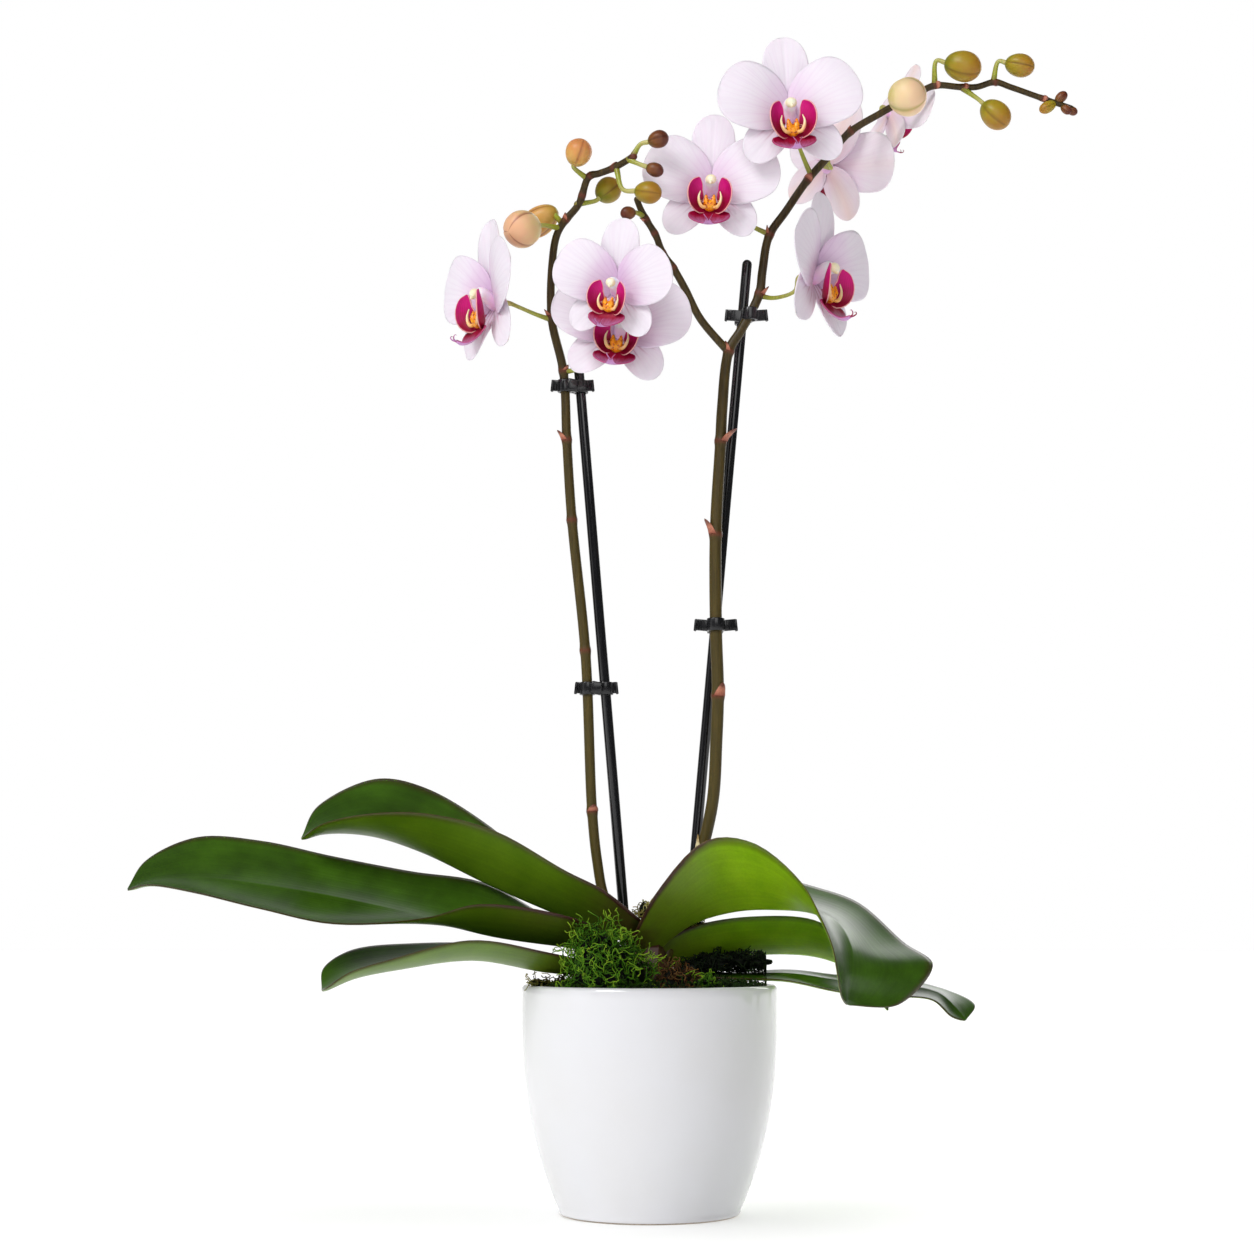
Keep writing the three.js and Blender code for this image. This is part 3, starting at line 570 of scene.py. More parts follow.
def spike_rind(low, high, ring):
    # A flower spike's rind: smooth, faintly streaked along, browner towards the tip, reddish at nodes.
    material, tree, place = new_material("spike_rind")
    height = add(tree, "ShaderNodeSeparateXYZ", {0: place}).outputs[2]
    tint = add(tree, "ShaderNodeAttribute", attribute_name="tint").outputs["Fac"]
    rise = add(
        tree, "ShaderNodeMapRange",
        {"Value": height, "From Min": RIM_HEIGHT + 60 * MM, "From Max": RIM_HEIGHT + 420 * MM},
    )
    streaked = add(tree, "ShaderNodeMapping", {"Vector": place, "Scale": (1.0, 1.0, 0.06)})
    streak = add(tree, "ShaderNodeTexNoise", {"Vector": streaked, "Scale": per_metre(1.4), "Detail": 3.0})
    fleck = add(tree, "ShaderNodeTexNoise", {"Vector": place, "Scale": per_metre(0.8), "Detail": 2.0})
    body = add(tree, "ShaderNodeMix", {0: rise, 6: low, 7: high}, data_type="RGBA")
    pale = add(tree, "ShaderNodeMix", {0: 0.22, 6: body, 7: srgb("#6E5A20")}, data_type="RGBA")
    spread = add(tree, "ShaderNodeMapRange", {"Value": streak, "From Min": 0.4, "From Max": 0.68})
    streaky = add(tree, "ShaderNodeMix", {0: spread, 6: body, 7: pale}, data_type="RGBA")
    speck = add(
        tree, "ShaderNodeMapRange", {"Value": fleck, "From Min": 0.62, "From Max": 0.7, "To Max": 0.35}
    )
    specked = add(tree, "ShaderNodeMix", {0: speck, 6: streaky, 7: srgb("#2E2412")}, data_type="RGBA")
    tone = add(tree, "ShaderNodeMix", {0: tint, 6: specked, 7: ring}, data_type="RGBA")
    set_surface(
        tree,
        {
            "Base Color": tone, "Roughness": 0.42, "Specular IOR Level": 0.25,
            "Subsurface Weight": 0.08, "Subsurface Scale": 1 * MM,
        },
        bump=streak, strength=0.25, depth=0.2,
    )
    return material


def bract_scale(name, stops):
    # Papery bracts at the nodes: dried skin, rough and thin, darker at the foot and the tip.
    material, tree, place = new_material(name)
    plan = surface_plan(tree)
    grain = add(tree, "ShaderNodeTexNoise", {"Vector": place, "Scale": per_metre(1), "Detail": 3.0})
    uneven = add(tree, "ShaderNodeMath", {0: grain, 1: 0.5, 2: plan[1]}, operation="MULTIPLY_ADD")
    tone = add(
        tree, "ShaderNodeValToRGB", {"Fac": uneven},
        stops=list(zip((0.25, 0.7, 1.1), stops)),
    )
    set_surface(tree, {"Base Color": tone, "Roughness": 0.6}, bump=grain, strength=0.3, depth=0.2)
    return material


def stalk_flesh(colour):
    # Young flower stalk: smooth yellow-green flesh, flushed brown where it leaves the spike.
    material, tree, place = new_material("young_stalk")
    plan = surface_plan(tree)
    grain = add(tree, "ShaderNodeTexNoise", {"Vector": place, "Scale": per_metre(2.5), "Detail": 3.0})
    uneven = add(tree, "ShaderNodeMath", {0: grain, 1: 0.3, 2: plan[1]}, operation="MULTIPLY_ADD")
    pale = [0.5 * (c + w) for c, w in zip(colour[:3], srgb("#D8C890"))] + [1.0]
    tone = add(
        tree, "ShaderNodeValToRGB", {"Fac": uneven},
        stops=[(0.1, "#6E5A24"), (0.32, colour), (1.0, pale)],
    )
    set_surface(
        tree,
        {"Base Color": tone, "Roughness": 0.38, "Subsurface Weight": 0.2, "Subsurface Scale": 1.5 * MM},
        bump=grain, strength=0.1,
    )
    return material


def black_plastic(name, colour, roughness, drag):
    # Black plastic, extruded for stakes and moulded for clips: deep gloss with faint drawn lines.
    material, tree, place = new_material(name)
    drawn = add(tree, "ShaderNodeMapping", {"Vector": place, "Scale": (1.0, 1.0, 0.05)})
    grain = add(tree, "ShaderNodeTexNoise", {"Vector": drawn, "Scale": per_metre(1.5), "Detail": 2.0})
    worn = [c + 0.006 for c in colour[:3]] + [1.0]
    tone = add(tree, "ShaderNodeValToRGB", {"Fac": grain}, stops=[(0.4, colour), (0.75, worn)])
    set_surface(tree, {"Base Color": tone, "Roughness": roughness, "IOR": 1.53}, bump=grain, strength=drag)
    return material


def tepal_skin(name, body, flush, vein, reach, stripes, warmth):
    # A petal: thin, soft and slightly translucent, with veins that fan out from its claw.
    # UV runs from the claw in petal lengths: U along and V across.
    material, tree, place = new_material(name)
    plan = surface_plan(tree)
    along, across = plan[0], plan[1]
    soft = add(tree, "ShaderNodeTexNoise", {"Vector": place, "Scale": per_metre(12), "Detail": 3.0})
    # the angle from a point behind the claw, which the veins follow
    behind = add(tree, "ShaderNodeMath", {0: along, 1: 0.16}, operation="ADD")
    fan = add(tree, "ShaderNodeMath", {0: across, 1: behind}, operation="ARCTAN2")
    bent = add(tree, "ShaderNodeMath", {0: soft, 1: 0.07, 2: fan}, operation="MULTIPLY_ADD")
    lines = []
    for spread, sharpness in ((34.0, 9.0), (78.0, 5.0)):
        turned = add(tree, "ShaderNodeMath", {0: bent, 1: spread}, operation="MULTIPLY")
        wave = add(tree, "ShaderNodeMath", {0: turned}, operation="COSINE")
        lifted = add(tree, "ShaderNodeMath", {0: wave, 1: 0.5, 2: 0.5}, operation="MULTIPLY_ADD")
        lines.append(add(tree, "ShaderNodeMath", {0: lifted, 1: sharpness}, operation="POWER"))
    fork = add(tree, "ShaderNodeMapRange", {"Value": along, "From Min": 0.3, "From Max": 0.6})
    fine = add(tree, "ShaderNodeMath", {0: lines[1], 1: fork}, operation="MULTIPLY")
    net = add(tree, "ShaderNodeMath", {0: lines[0], 1: fine}, operation="MAXIMUM")
    fade = add(
        tree, "ShaderNodeMapRange",
        {"Value": along, "From Min": 0.1, "From Max": 0.95, "To Min": 0.15, "To Max": 0.03},
    )
    veining = add(tree, "ShaderNodeMath", {0: net, 1: fade}, operation="MULTIPLY")
    # the flush is strongest at the claw and fades unevenly outwards
    outward = add(tree, "ShaderNodeMath", {0: soft, 1: 0.35, 2: along}, operation="MULTIPLY_ADD")
    glow = add(
        tree, "ShaderNodeMapRange",
        {"Value": outward, "From Min": 0.15, "From Max": reach + 0.25, "To Min": 0.55, "To Max": 0.02},
        interpolation_type="SMOOTHSTEP",
    )
    flushed = add(tree, "ShaderNodeMix", {0: glow, 6: body, 7: flush}, data_type="RGBA")
    veined = add(tree, "ShaderNodeMix", {0: veining, 6: flushed, 7: vein}, data_type="RGBA")
    tone = veined
    if stripes:
        near = add(
            tree, "ShaderNodeMapRange",
            {"Value": along, "From Min": 0.12, "From Max": 0.62, "To Min": stripes, "To Max": 0.0},
        )
        band = add(tree, "ShaderNodeMath", {0: lines[0], 1: near}, operation="MULTIPLY")
        tone = add(tree, "ShaderNodeMix", {0: band, 6: veined, 7: srgb("#9A3A50")}, data_type="RGBA")
    if warmth:
        off = add(tree, "ShaderNodeMath", {0: across}, operation="ABSOLUTE")
        keel = add(
            tree, "ShaderNodeMapRange",
            {"Value": off, "From Min": 0.02, "From Max": 0.2, "To Min": warmth, "To Max": warmth * 0.35},
        )
        tone = add(tree, "ShaderNodeMix", {0: keel, 6: tone, 7: srgb("#DDB596")}, data_type="RGBA")
    set_surface(
        tree,
        {
            "Base Color": tone, "Roughness": 0.55, "IOR": 1.38, "Specular IOR Level": 0.25,
            "Sheen Weight": 0.1, "Subsurface Weight": 0.35, "Subsurface Scale": 2 * MM,
            "Subsurface Radius": (1.0, 0.75, 0.85),
        },
        bump=net, strength=0.12, depth=0.25,
    )
    return material


def lip_skin(name, deep, bright, edge, throat):
    # The lip: fleshy and velvety, dark crimson with a satin gloss, brighter tips and a thin pale
    # edge. UV runs along the lobe, U, and from edge to edge, V.
    material, tree, place = new_material(name)
    plan = surface_plan(tree)
    along, across = plan[0], plan[1]
    soft = add(tree, "ShaderNodeTexNoise", {"Vector": place, "Scale": per_metre(5), "Detail": 3.0})
    outward = add(tree, "ShaderNodeMath", {0: soft, 1: 0.3, 2: along}, operation="MULTIPLY_ADD")
    body = add(
        tree, "ShaderNodeValToRGB",
        {"Fac": outward},
        stops=[(0.02, throat), (0.22, deep), (0.6, deep), (1.0, bright)],
    )
    turned = add(tree, "ShaderNodeMath", {0: across, 1: 62.0}, operation="MULTIPLY")
    streaks = add(tree, "ShaderNodeMath", {0: turned}, operation="SINE")
    streaky = add(
        tree, "ShaderNodeMapRange",
        {"Value": streaks, "From Min": 0.4, "From Max": 1.0, "To Min": 0.0, "To Max": 0.28},
    )
    dark = add(tree, "ShaderNodeMix", {0: streaky, 6: body, 7: srgb("#5A0018")}, data_type="RGBA")
    centred = add(tree, "ShaderNodeMath", {0: across, 1: 0.5}, operation="SUBTRACT")
    half = add(tree, "ShaderNodeMath", {0: centred}, operation="ABSOLUTE")
    rim = add(
        tree, "ShaderNodeMapRange",
        {"Value": half, "From Min": 0.47, "From Max": 0.495, "To Min": 0.0, "To Max": 0.8},
    )
    tone = add(tree, "ShaderNodeMix", {0: rim, 6: dark, 7: edge}, data_type="RGBA")
    set_surface(
        tree,
        {
            "Base Color": tone, "Roughness": 0.42, "IOR": 1.4, "Specular IOR Level": 0.3,
            "Subsurface Weight": 0.1, "Subsurface Scale": 1 * MM, "Subsurface Radius": (1.0, 0.2, 0.4),
        },
        bump=soft, strength=0.2, depth=0.3,
    )
    return material


def callus_flesh(colour):
    # The callus: shiny orange flesh with red-brown speckles.
    material, tree, place = new_material("callus_flesh")
    spots = add(tree, "ShaderNodeTexNoise", {"Vector": place, "Scale": per_metre(1.3), "Detail": 2.0})
    tone = add(
        tree, "ShaderNodeValToRGB", {"Fac": spots},
        stops=[(0.36, "#9A2A08"), (0.44, colour), (0.72, "#F6B020")],
    )
    set_surface(
        tree,
        {"Base Color": tone, "Roughness": 0.3, "Subsurface Weight": 0.15, "Subsurface Scale": 1 * MM},
        bump=spots, strength=0.2, depth=0.2,
    )
    return material


def column_wax(name, low, high):
    # The column and its cap: waxy white flesh with a cream or lilac cast.
    material, tree, place = new_material(name)
    plan = surface_plan(tree)
    soft = add(tree, "ShaderNodeTexNoise", {"Vector": place, "Scale": per_metre(3), "Detail": 2.0})
    uneven = add(tree, "ShaderNodeMath", {0: soft, 1: 0.4, 2: plan[1]}, operation="MULTIPLY_ADD")
    tone = add(tree, "ShaderNodeValToRGB", {"Fac": uneven}, stops=[(0.2, low), (1.0, high)])
    set_surface(
        tree,
        {"Base Color": tone, "Roughness": 0.35, "Subsurface Weight": 0.3, "Subsurface Scale": 2 * MM},
        bump=soft, strength=0.1, depth=0.2,
    )
    return material


def bud_skin(name, foot, body, blush, seam):
    # A bud: plump waxy sepals, greener at the stalk, blushing to the tip, with dark seams.
    material, tree, place = new_material(name)
    plan = surface_plan(tree)
    tint = add(tree, "ShaderNodeAttribute", attribute_name="tint").outputs["Fac"]
    soft = add(tree, "ShaderNodeTexNoise", {"Vector": place, "Scale": per_metre(6), "Detail": 4.0})
    uneven = add(tree, "ShaderNodeMath", {0: soft, 1: 0.5, 2: plan[1]}, operation="MULTIPLY_ADD")
    tone = add(tree, "ShaderNodeValToRGB", {"Fac": uneven}, stops=[(0.3, foot), (0.62, body), (1.0, blush)])
    lined = add(tree, "ShaderNodeCombineXYZ", {0: plan[0]})
    veins = add(tree, "ShaderNodeTexNoise", {"Vector": lined, "Scale": 44.0, "Detail": 1.0})
    faint = add(
        tree, "ShaderNodeMapRange",
        {"Value": veins, "From Min": 0.5, "From Max": 0.75, "To Min": 0.0, "To Max": 0.3},
    )
    veined = add(tree, "ShaderNodeMix", {0: faint, 6: tone, 7: blush}, data_type="RGBA")
    seamed = add(tree, "ShaderNodeMix", {0: tint, 6: veined, 7: seam}, data_type="RGBA")
    set_surface(
        tree,
        {
            "Base Color": seamed, "Roughness": 0.38, "Specular IOR Level": 0.3,
            "Subsurface Weight": 0.2, "Subsurface Scale": 2 * MM,
        },
        bump=veins, strength=0.08, depth=0.2,
    )
    return material


def floor_paper(colour):
    # Seamless studio paper: matt and almost white, with a trace of tooth.
    material, tree, place = new_material("studio_paper")
    tooth = add(tree, "ShaderNodeTexNoise", {"Vector": place, "Scale": per_metre(4), "Detail": 2.0})
    set_surface(tree, {"Base Color": colour, "Roughness": 0.85}, bump=tooth, strength=0.02)
    return material


# ---- The plant's own lines, as the CAD model has them ----

SPIKE_PATHS = {
    "left": [
        [-6, 5, 14], [-17, 9, 34], [-26, 12, 50], [-30, 12.5, 70], [-33, 12, 99], [-37, 10, 191],
        [-45, 6, 269], [-48, 3, 315], [-50, 0, 355], [-57, -2, 387], [-56.5, -6, 421],
        [-54, -9, 435], [-50, -11, 442], [-41, -15, 452], [-35, -20, 467], [-29, -23, 468],
        [-20, -28, 470], [-9, -36, 474],
    ],
    "right": [
        [8, 8, 10], [16, 14, 34], [24, 16, 56], [31, 15, 78], [37, 12, 106], [39, 10, 139],
        [40, 9, 167], [39, 7, 204], [39, 5, 261], [42, 3, 314], [43, 2, 334], [47, 0, 368],
        [54, 0, 380], [65, 0, 402], [67, 0, 416], [71, 0, 437], [81, 0, 452], [94, 0, 471],
        [107, 0, 486], [119, 0, 500], [138, 0, 512], [163, 0, 526], [171, 0, 529], [185, 0, 528],
        [195, 0, 528], [206, 0, 531], [215, 0, 528], [234, 0, 521], [251, 0, 515],
    ],
    "branch": [
        [47, 0, 367], [30, -6, 386], [21, -10, 403], [14, -12, 415], [8, -14, 423],
        [4, -16, 433], [-1, -18, 441], [-5, -20, 448], [-7, -21, 453],
    ],
}
SPIKES = {name: Path([above_rim(p) for p in points]) for name, points in SPIKE_PATHS.items()}
SPIKE_NODES = {"left": "left_spike", "right": "right_spike", "branch": "right_spike_branch"}
# Each spike's thickness in millimetres at shares of its length.
SPIKE_GIRTH = {
    "left": [(0, 5.9), (0.6, 5.6), (0.8, 4.7), (1, 3.8)],
    "right": [(0, 6.9), (0.45, 6.7), (0.6, 5.4), (1, 3.3)],
    "branch": [(0, 4.8), (0.5, 4.4), (1, 3.6)],
}
# The nodes along each spike as [x, height, bract's length or 0, where the bract is round the
# stem in degrees from the right-hand side towards the front, how far its tip leans out].
SPIKE_RINGS = {
    "left": [
        [-33, 99, 4, 70, 0.1], [-37.2, 190.5, 0, 0, 0], [-44.9, 268.6, 0, 0, 0],
        [-47.7, 315, 6, 165, 0.4], [-49.9, 356, 3, 20, 0.2], [-57.6, 388.6, 4, 180, 0.3],
        [-50.8, 446, 3, 150, 0.2], [-41.9, 458, 0, 0, 0], [-35.8, 471, 0, 0, 0],
        [-20.7, 471, 3, 270, 0.2], [-9, 474, 0, 0, 0],
    ],
    "right": [
        [39.8, 166.4, 8, 50, 0.03], [38.5, 260.6, 9, 165, 0.35], [41.7, 314, 8, 10, 0.75],
        [46.8, 368, 5, 150, 0.2], [64.8, 402, 6, 0, 0.2], [71.6, 438, 5, 180, 0.2],
        [97.8, 468, 4, 100, 0.1], [119.2, 500, 3, 200, 0.2], [149, 518, 0, 0, 0],
        [171, 529, 3, 90, 0.2], [187.5, 528, 3, 270, 0.2], [206, 531, 3, 90, 0.2],
        [235, 521, 3, 270, 0.2],
    ],
    "branch": [
        [14.3, 415, 0, 0, 0], [7.9, 423, 4, 180, 0.3], [-1.3, 442, 3, 180, 0.2], [3, 434, 0, 0, 0],
    ],
}
SHEATH = [29.2, 76, 10, 175, 0.08]  # the papery sheath at the right spike's foot

STAKES = {
    "left": {"top": [-41, 3, 357], "low": [-15, 16, 44.5]},
    "right": {"top": [58.5, 10, 422.5], "low": [27.5, 24, 81.5]},
}
STAKE_FOOT = 18 * MM  # height of a stake's lower end in the pot
CLIPS = {
    "clip_upper_left": ["left", 347],
    "clip_lower_left": ["left", 170],
    "clip_upper_right": ["right", 390],
    "clip_lower_right": ["right", 207],
}

# Each station is [keel, left edge, right edge] as seen walking out along the leaf, the last its tip.
LEAVES = {
    "leaf_upper_left": [
        [[-8, 2, 22], [-4, -10, 36], [-8, 8, 30]],
        [[-27, 2, 30], [-25, -18, 53], [-30, 20, 42]],
        [[-47, 2, 38], [-48, -22, 64], [-52, 24, 56]],
        [[-89, 0, 56], [-88, -24, 86], [-93, 26, 91]],
        [[-131, 0, 76], [-128, -32, 96], [-132, 32, 113]],
        [[-160, -2, 85], [-160, -34, 96], [-161, 34, 118]],
        [[-186, -4, 86], [-183, -26, 91], [-192, 20, 103]],
        [[-199, -8, 82]],
    ],
    "leaf_long_left": [
        [[-18, -6, 18], [-17, -14, 24], [-18, 2, 22]],
        [[-46, -16, 22], [-42, -38, 38], [-51, 10, 34]],
        [[-88, -20, 28], [-94, -50, 45], [-94, 10, 58]],
        [[-124, -22, 37], [-123, -58, 37], [-138, 10, 65]],
        [[-174, -24, 48], [-173, -58, 34], [-184, 8, 73]],
        [[-215, -24, 55], [-214, -54, 43], [-224, 6, 81]],
        [[-249, -24, 59], [-251, -48, 52], [-260, 0, 83]],
        [[-279, -22, 58], [-279, -36, 56], [-287, -8, 70]],
        [[-295, -20, 53]],
    ],
    "leaf_lower_left": [
        [[-18, -12, 6], [-18, -18, 10], [-18, -4, 10]],
        [[-56, -24, 8], [-56, -46, 19], [-60, 2, 18]],
        [[-97, -34, 15], [-97, -66, 25], [-100, 0, 24]],
        [[-136, -40, 11], [-137, -72, 16], [-136, -6, 23]],
        [[-162, -44, 6], [-163, -68, 9], [-168, -16, 19]],
        [[-177, -46, 0], [-177, -58, 0], [-182, -30, 10]],
        [[-181, -46, -2]],
    ],
    "leaf_big_right": [
        [[-2, 0, 14], [4, 10, 24], [-10, -12, 26]],
        [[23, 0, 34], [22, 8, 45], [4, -24, 52]],
        [[49, -4, 42], [47, 26, 67], [31, -30, 81]],
        [[73, -10, 43], [76, 34, 60], [57, -46, 80]],
        [[92, -18, 41], [95, 26, 55], [83, -60, 57]],
        [[105, -28, 34], [121, 14, 46], [93, -66, 36]],
        [[111, -38, 21], [146, 2, 24], [98, -70, 21]],
        [[111, -44, 9], [161, -10, 12], [101, -70, 7]],
        [[109, -46, -2], [140, -26, -10], [104, -62, -4]],
        [[108, -48, -10]],
    ],
    "leaf_mid_right": [
        [[3, 8, 9], [8, 20, 18], [-1, 2, 20]],
        [[29, 22, 12], [30, 44, 25], [25, 8, 33]],
        [[64, 34, 17], [65, 62, 33], [61, 12, 39]],
        [[101, 44, 15], [104, 74, 30], [99, 24, 35]],
        [[126, 50, 4], [132, 72, 15], [117, 34, 17]],
        [[137, 52, -8], [144, 66, -3], [131, 40, -3]],
        [[141, 50, -17]],
    ],
    "leaf_low_right": [
        [[8, 4, 4], [8, 10, 4], [8, -2, 3]],
        [[29, 8, 6], [29, 16, 6], [29, 0, 4]],
        [[49, 10, 5], [50, 28, 6], [48, -8, 4]],
        [[81, 12, 5], [82, 36, 7], [77, -10, 3]],
        [[110, 14, 1], [112, 38, 4], [108, -8, -4]],
        [[141, 14, -1], [144, 36, 3], [136, -4, -7]],
        [[166, 14, -6], [174, 30, -4], [161, 0, -9]],
        [[176, 12, -15], [188, 22, -12], [172, 4, -18]],
        [[181, 10, -21]],
    ],
}
# these leaves' undersides take the brighter lit-through colour: painted light for the light that shines
# through them, beside the real translucency of the subsurface
LIT_THROUGH = ("leaf_big_right", "leaf_mid_right", "leaf_low_right")

# Where each flower's heart is; its size; which way it faces, in degrees to the right of -Y and
# below level; its roll clockwise; and its stalk's way from the spike to its back.
FLOWERS = {
    "flower_1": [[81, -32, 499.5], 1, 3, -3, -4, [[96, 0, 474], [90, -10, 484], [84, -20, 496]]],
    "flower_2": [[36.5, -18, 459.5], 0.95, -4, 0, 3, [[71, 0, 438], [59, -1, 444], [46, -4, 454]]],
    "flower_3": [[-18.4, -46, 393], 0.86, -20, 6, 10, [[8, -14, 422], [-3, -18, 418], [-18, -28, 402]]],
    "flower_4": [[-16, -18, 375], 0.97, -6, -6, 8, [[-51, 0, 355], [-40, -3, 357], [-26, -4, 366]]],
    "flower_5": [[-89.5, -6, 396], 1.04, -60, 0, 0, [[-57, -2, 386], [-66, -3, 389], [-78, -4, 394]]],
    "flower_6": [[96, -8, 411], 1.06, 56, 2, 2, [[65, 0, 401], [74, 1, 400], [86, 0, 404]]],
    "flower_7": [[108, 24, 487], 0.92, 142, -8, -26, [[106, 0, 485], [107, 6, 483], [109, 12, 482]]],
    "flower_8": [[146, 22, 520], 0.7, 122, 18, -20, [[133, 0, 509], [134, 8, 512], [139, 14, 517]]],
}
ROSY_FLOWERS = ("flower_3", "flower_4", "flower_5", "flower_6")
HEART_BACK = -3  # from a flower's heart to where its stalk ends

# Each bud's half length and half width, its finish, its seam's turn in degrees, and its stalk's
# way to the bud's middle.
BUDS = {
    "bud_left_1": [8, 7.5, "blush", 40, [[-36, -19, 466], [-44, -23, 472], [-41, -27, 479]]],
    "bud_left_2": [6, 5, "brown", 20, [[-9, -36, 475], [-5, -37, 481], [5, -40, 483]]],
    "bud_left_3": [5.2, 4, "brown", 80, [[-12, -34, 473], [-6, -38, 469], [3, -40, 465]]],
    "bud_left_4": [8.2, 6.3, "olive", 10, [[-19, -28, 470], [-15, -34, 455], [-1, -42, 451]]],
    "bud_left_5": [8, 7.4, "olive", 60, [[-42, -15, 452], [-31, -12, 455], [-24, -9, 462]]],
    "bud_left_6": [11, 10.6, "peach", 0, [[-52, -10, 439], [-62, -16, 439], [-73, -26, 434]]],
    "bud_left_7": [12.5, 8.5, "blush", 30, [[-51, -10, 442], [-56, -3, 451], [-64, 2, 447]]],
    "bud_right_1": [11, 11, "cream", 65, [[148, 0, 518], [141, -25, 514], [150, -29, 512]]],
    "bud_right_2": [10.8, 9, "olive", 70, [[170, 0, 529], [171, -3, 543], [186, -5, 539]]],
    "bud_right_3": [8.6, 6.8, "olive", 30, [[205, 0, 531], [208, -2, 543], [220, -4, 540]]],
    "bud_right_4": [9.8, 8, "olive", 50, [[187, 0, 527], [196, -3, 519], [205, -4, 510]]],
    "bud_branch": [4.6, 3.8, "brown", 0, [[-3, -19, 444], [-8, -22, 445], [-12, -24, 444]]],
}
# The small buds at the right spike's tip: [x, y, height], half length, half width, finish.
TIP_BUDS = [
    [[237, -1, 515.5], 5.6, 3.4, "olive"],
    [[245, 0, 521.5], 4.4, 3.0, "brown"],
    [[247.5, -2, 513.5], 3.6, 2.6, "brown"],
    [[251.5, 1, 513.8], 3.4, 2.6, "brown"],
]


# ---- Pot ----

POT_FOOT_RADIUS = 50 * MM
POT_FLOOR = 7 * MM  # height of the floor inside
POT_STRAIGHT_FROM = 0.87  # of the height: above it the wall stands upright
POT_CURVE = 2.35  # how late the wall turns in towards the foot
POT_STEPS = 48
POT_SIDES = 144
MOSS_REACH = RIM_RADIUS - 6 * MM  # the moss stays inside the pot's wall


def pot_radius(z):
    """The pot's outside radius at a height."""
    drop = max(0, 1 - z / (POT_STRAIGHT_FROM * RIM_HEIGHT))
    return RIM_RADIUS - (RIM_RADIUS - POT_FOOT_RADIUS) * drop**POT_CURVE


def pot_profile(wall, foot_round):
    """The pot's section as [radius, height, bare], from the underside's middle to the inside's."""
    recess = 1.2 * MM
    middle = 0.05 * MM
    foot_inside = POT_FOOT_RADIUS - 6 * MM
    section = [[middle, recess, 1], [foot_inside - 2 * MM, recess, 1], [foot_inside, 0, 1]]
    centre = pot_radius(foot_round) - foot_round
    for step in range(9):
        a = math.pi / 2 * step / 8
        height = foot_round * (1 - math.cos(a))
        section.append([centre + foot_round * math.sin(a), height, int(step < 4)])
    rise = RIM_HEIGHT - wall / 2
    for step in range(1, POT_STEPS + 1):
        z = foot_round + (rise - foot_round) * step / POT_STEPS
        section.append([pot_radius(z), z, 0])
    for step in range(1, 12):
        a = math.pi * step / 12
        section.append([RIM_RADIUS - wall / 2 * (1 - math.cos(a)), rise + wall / 2 * math.sin(a), 0])
    for step in range(POT_STEPS, -1, -1):
        z = POT_FLOOR + (rise - POT_FLOOR) * step / POT_STEPS
        section.append([pot_radius(z) - wall, z, 0])
    section.append([middle, POT_FLOOR, 0])
    return section


class OrchidPot(bpy.types.Operator):
    """Adds the glazed cover pot and finishes the grow pot and the bark inside it"""

    bl_idname = "orchid.pot"
    bl_label = "Pot"

    def execute(self, context):
        settings = context.scene.orchid_pot
        skin = Skin()
        section = pot_profile(settings.wall, settings.foot_round)
        turns = [2 * math.pi * j / POT_SIDES for j in range(POT_SIDES)]
        rings = [[Vector((r * math.cos(a), r * math.sin(a), z)) for a in turns] for r, z, _ in section]
        skin.rows(rings, lambda i, j: (j / POT_SIDES, i / len(section)), closed=True, capped=True)
        for ring, (_, _, bare) in enumerate(section[:-1]):
            if bare:
                skin.marks[ring * POT_SIDES : (ring + 1) * POT_SIDES] = [1] * POT_SIDES
        skin.marks[-2] = 1  # the cap that closes the underside
        finishes = [glazed_ceramic(settings.glaze), bare_clay(settings.bisque)]
        mesh = skin.mesh("glazed_cover_pot", sharp=50)
        add_piece("glazed_cover_pot", mesh, finishes, "pot_glaze", "cover_pot")
        finish_node("grow_pot", clear_plastic())
        finish_node("growing_medium", bark_chips(settings.bark))
        return {"FINISHED"}


# ---- Stakes and clips ----


def stake_ends(side):
    """A stake's foot in the pot and its top."""
    top, low = [above_rim(STAKES[side][end]) for end in ("top", "low")]
    way = top - low
    return top + way * ((STAKE_FOOT - top.z) / way.z), top


def spike_radius(name, share):
    """A spike's radius at a share of its length, without the swelling at its nodes."""
    return float(through(SPIKE_GIRTH[name], np.array(share))) / 2 * MM


class OrchidStakes(bpy.types.Operator):
    """Adds the two black plant stakes"""

    bl_idname = "orchid.stakes"
    bl_label = "Stakes"

    def execute(self, context):
        settings = context.scene.orchid_stems
        finish = black_plastic("extruded_black_plastic", settings.stake, 0.1, 0.03)
        radius = settings.stake_diameter / 2
        for side in STAKES:
            foot, top = stake_ends(side)
            line = [foot.lerp(top, i / 12) for i in range(13)]
            skin = Skin()
            skin.tube(line, [radius] * len(line), sides=40)
            name = f"{side}_plant_stake"
            add_piece(name, skin.mesh(name, sharp=60), [finish], "stake_plastic", f"{side}_stake")
        return {"FINISHED"}


def block(bm, size, centre, turn, bevel):
    """Adds a box with rounded edges to a bmesh."""
    made = bmesh.ops.create_cube(bm, size=1.0)["verts"]
    place = Matrix.Translation(centre) @ turn.to_4x4() @ Matrix.Diagonal((*size, 1))
    bmesh.ops.transform(bm, matrix=place, verts=made)
    edges = {edge for vert in made for edge in vert.link_edges}
    bmesh.ops.bevel(bm, geom=list(edges), offset=bevel, segments=3, profile=0.5, affect="EDGES")


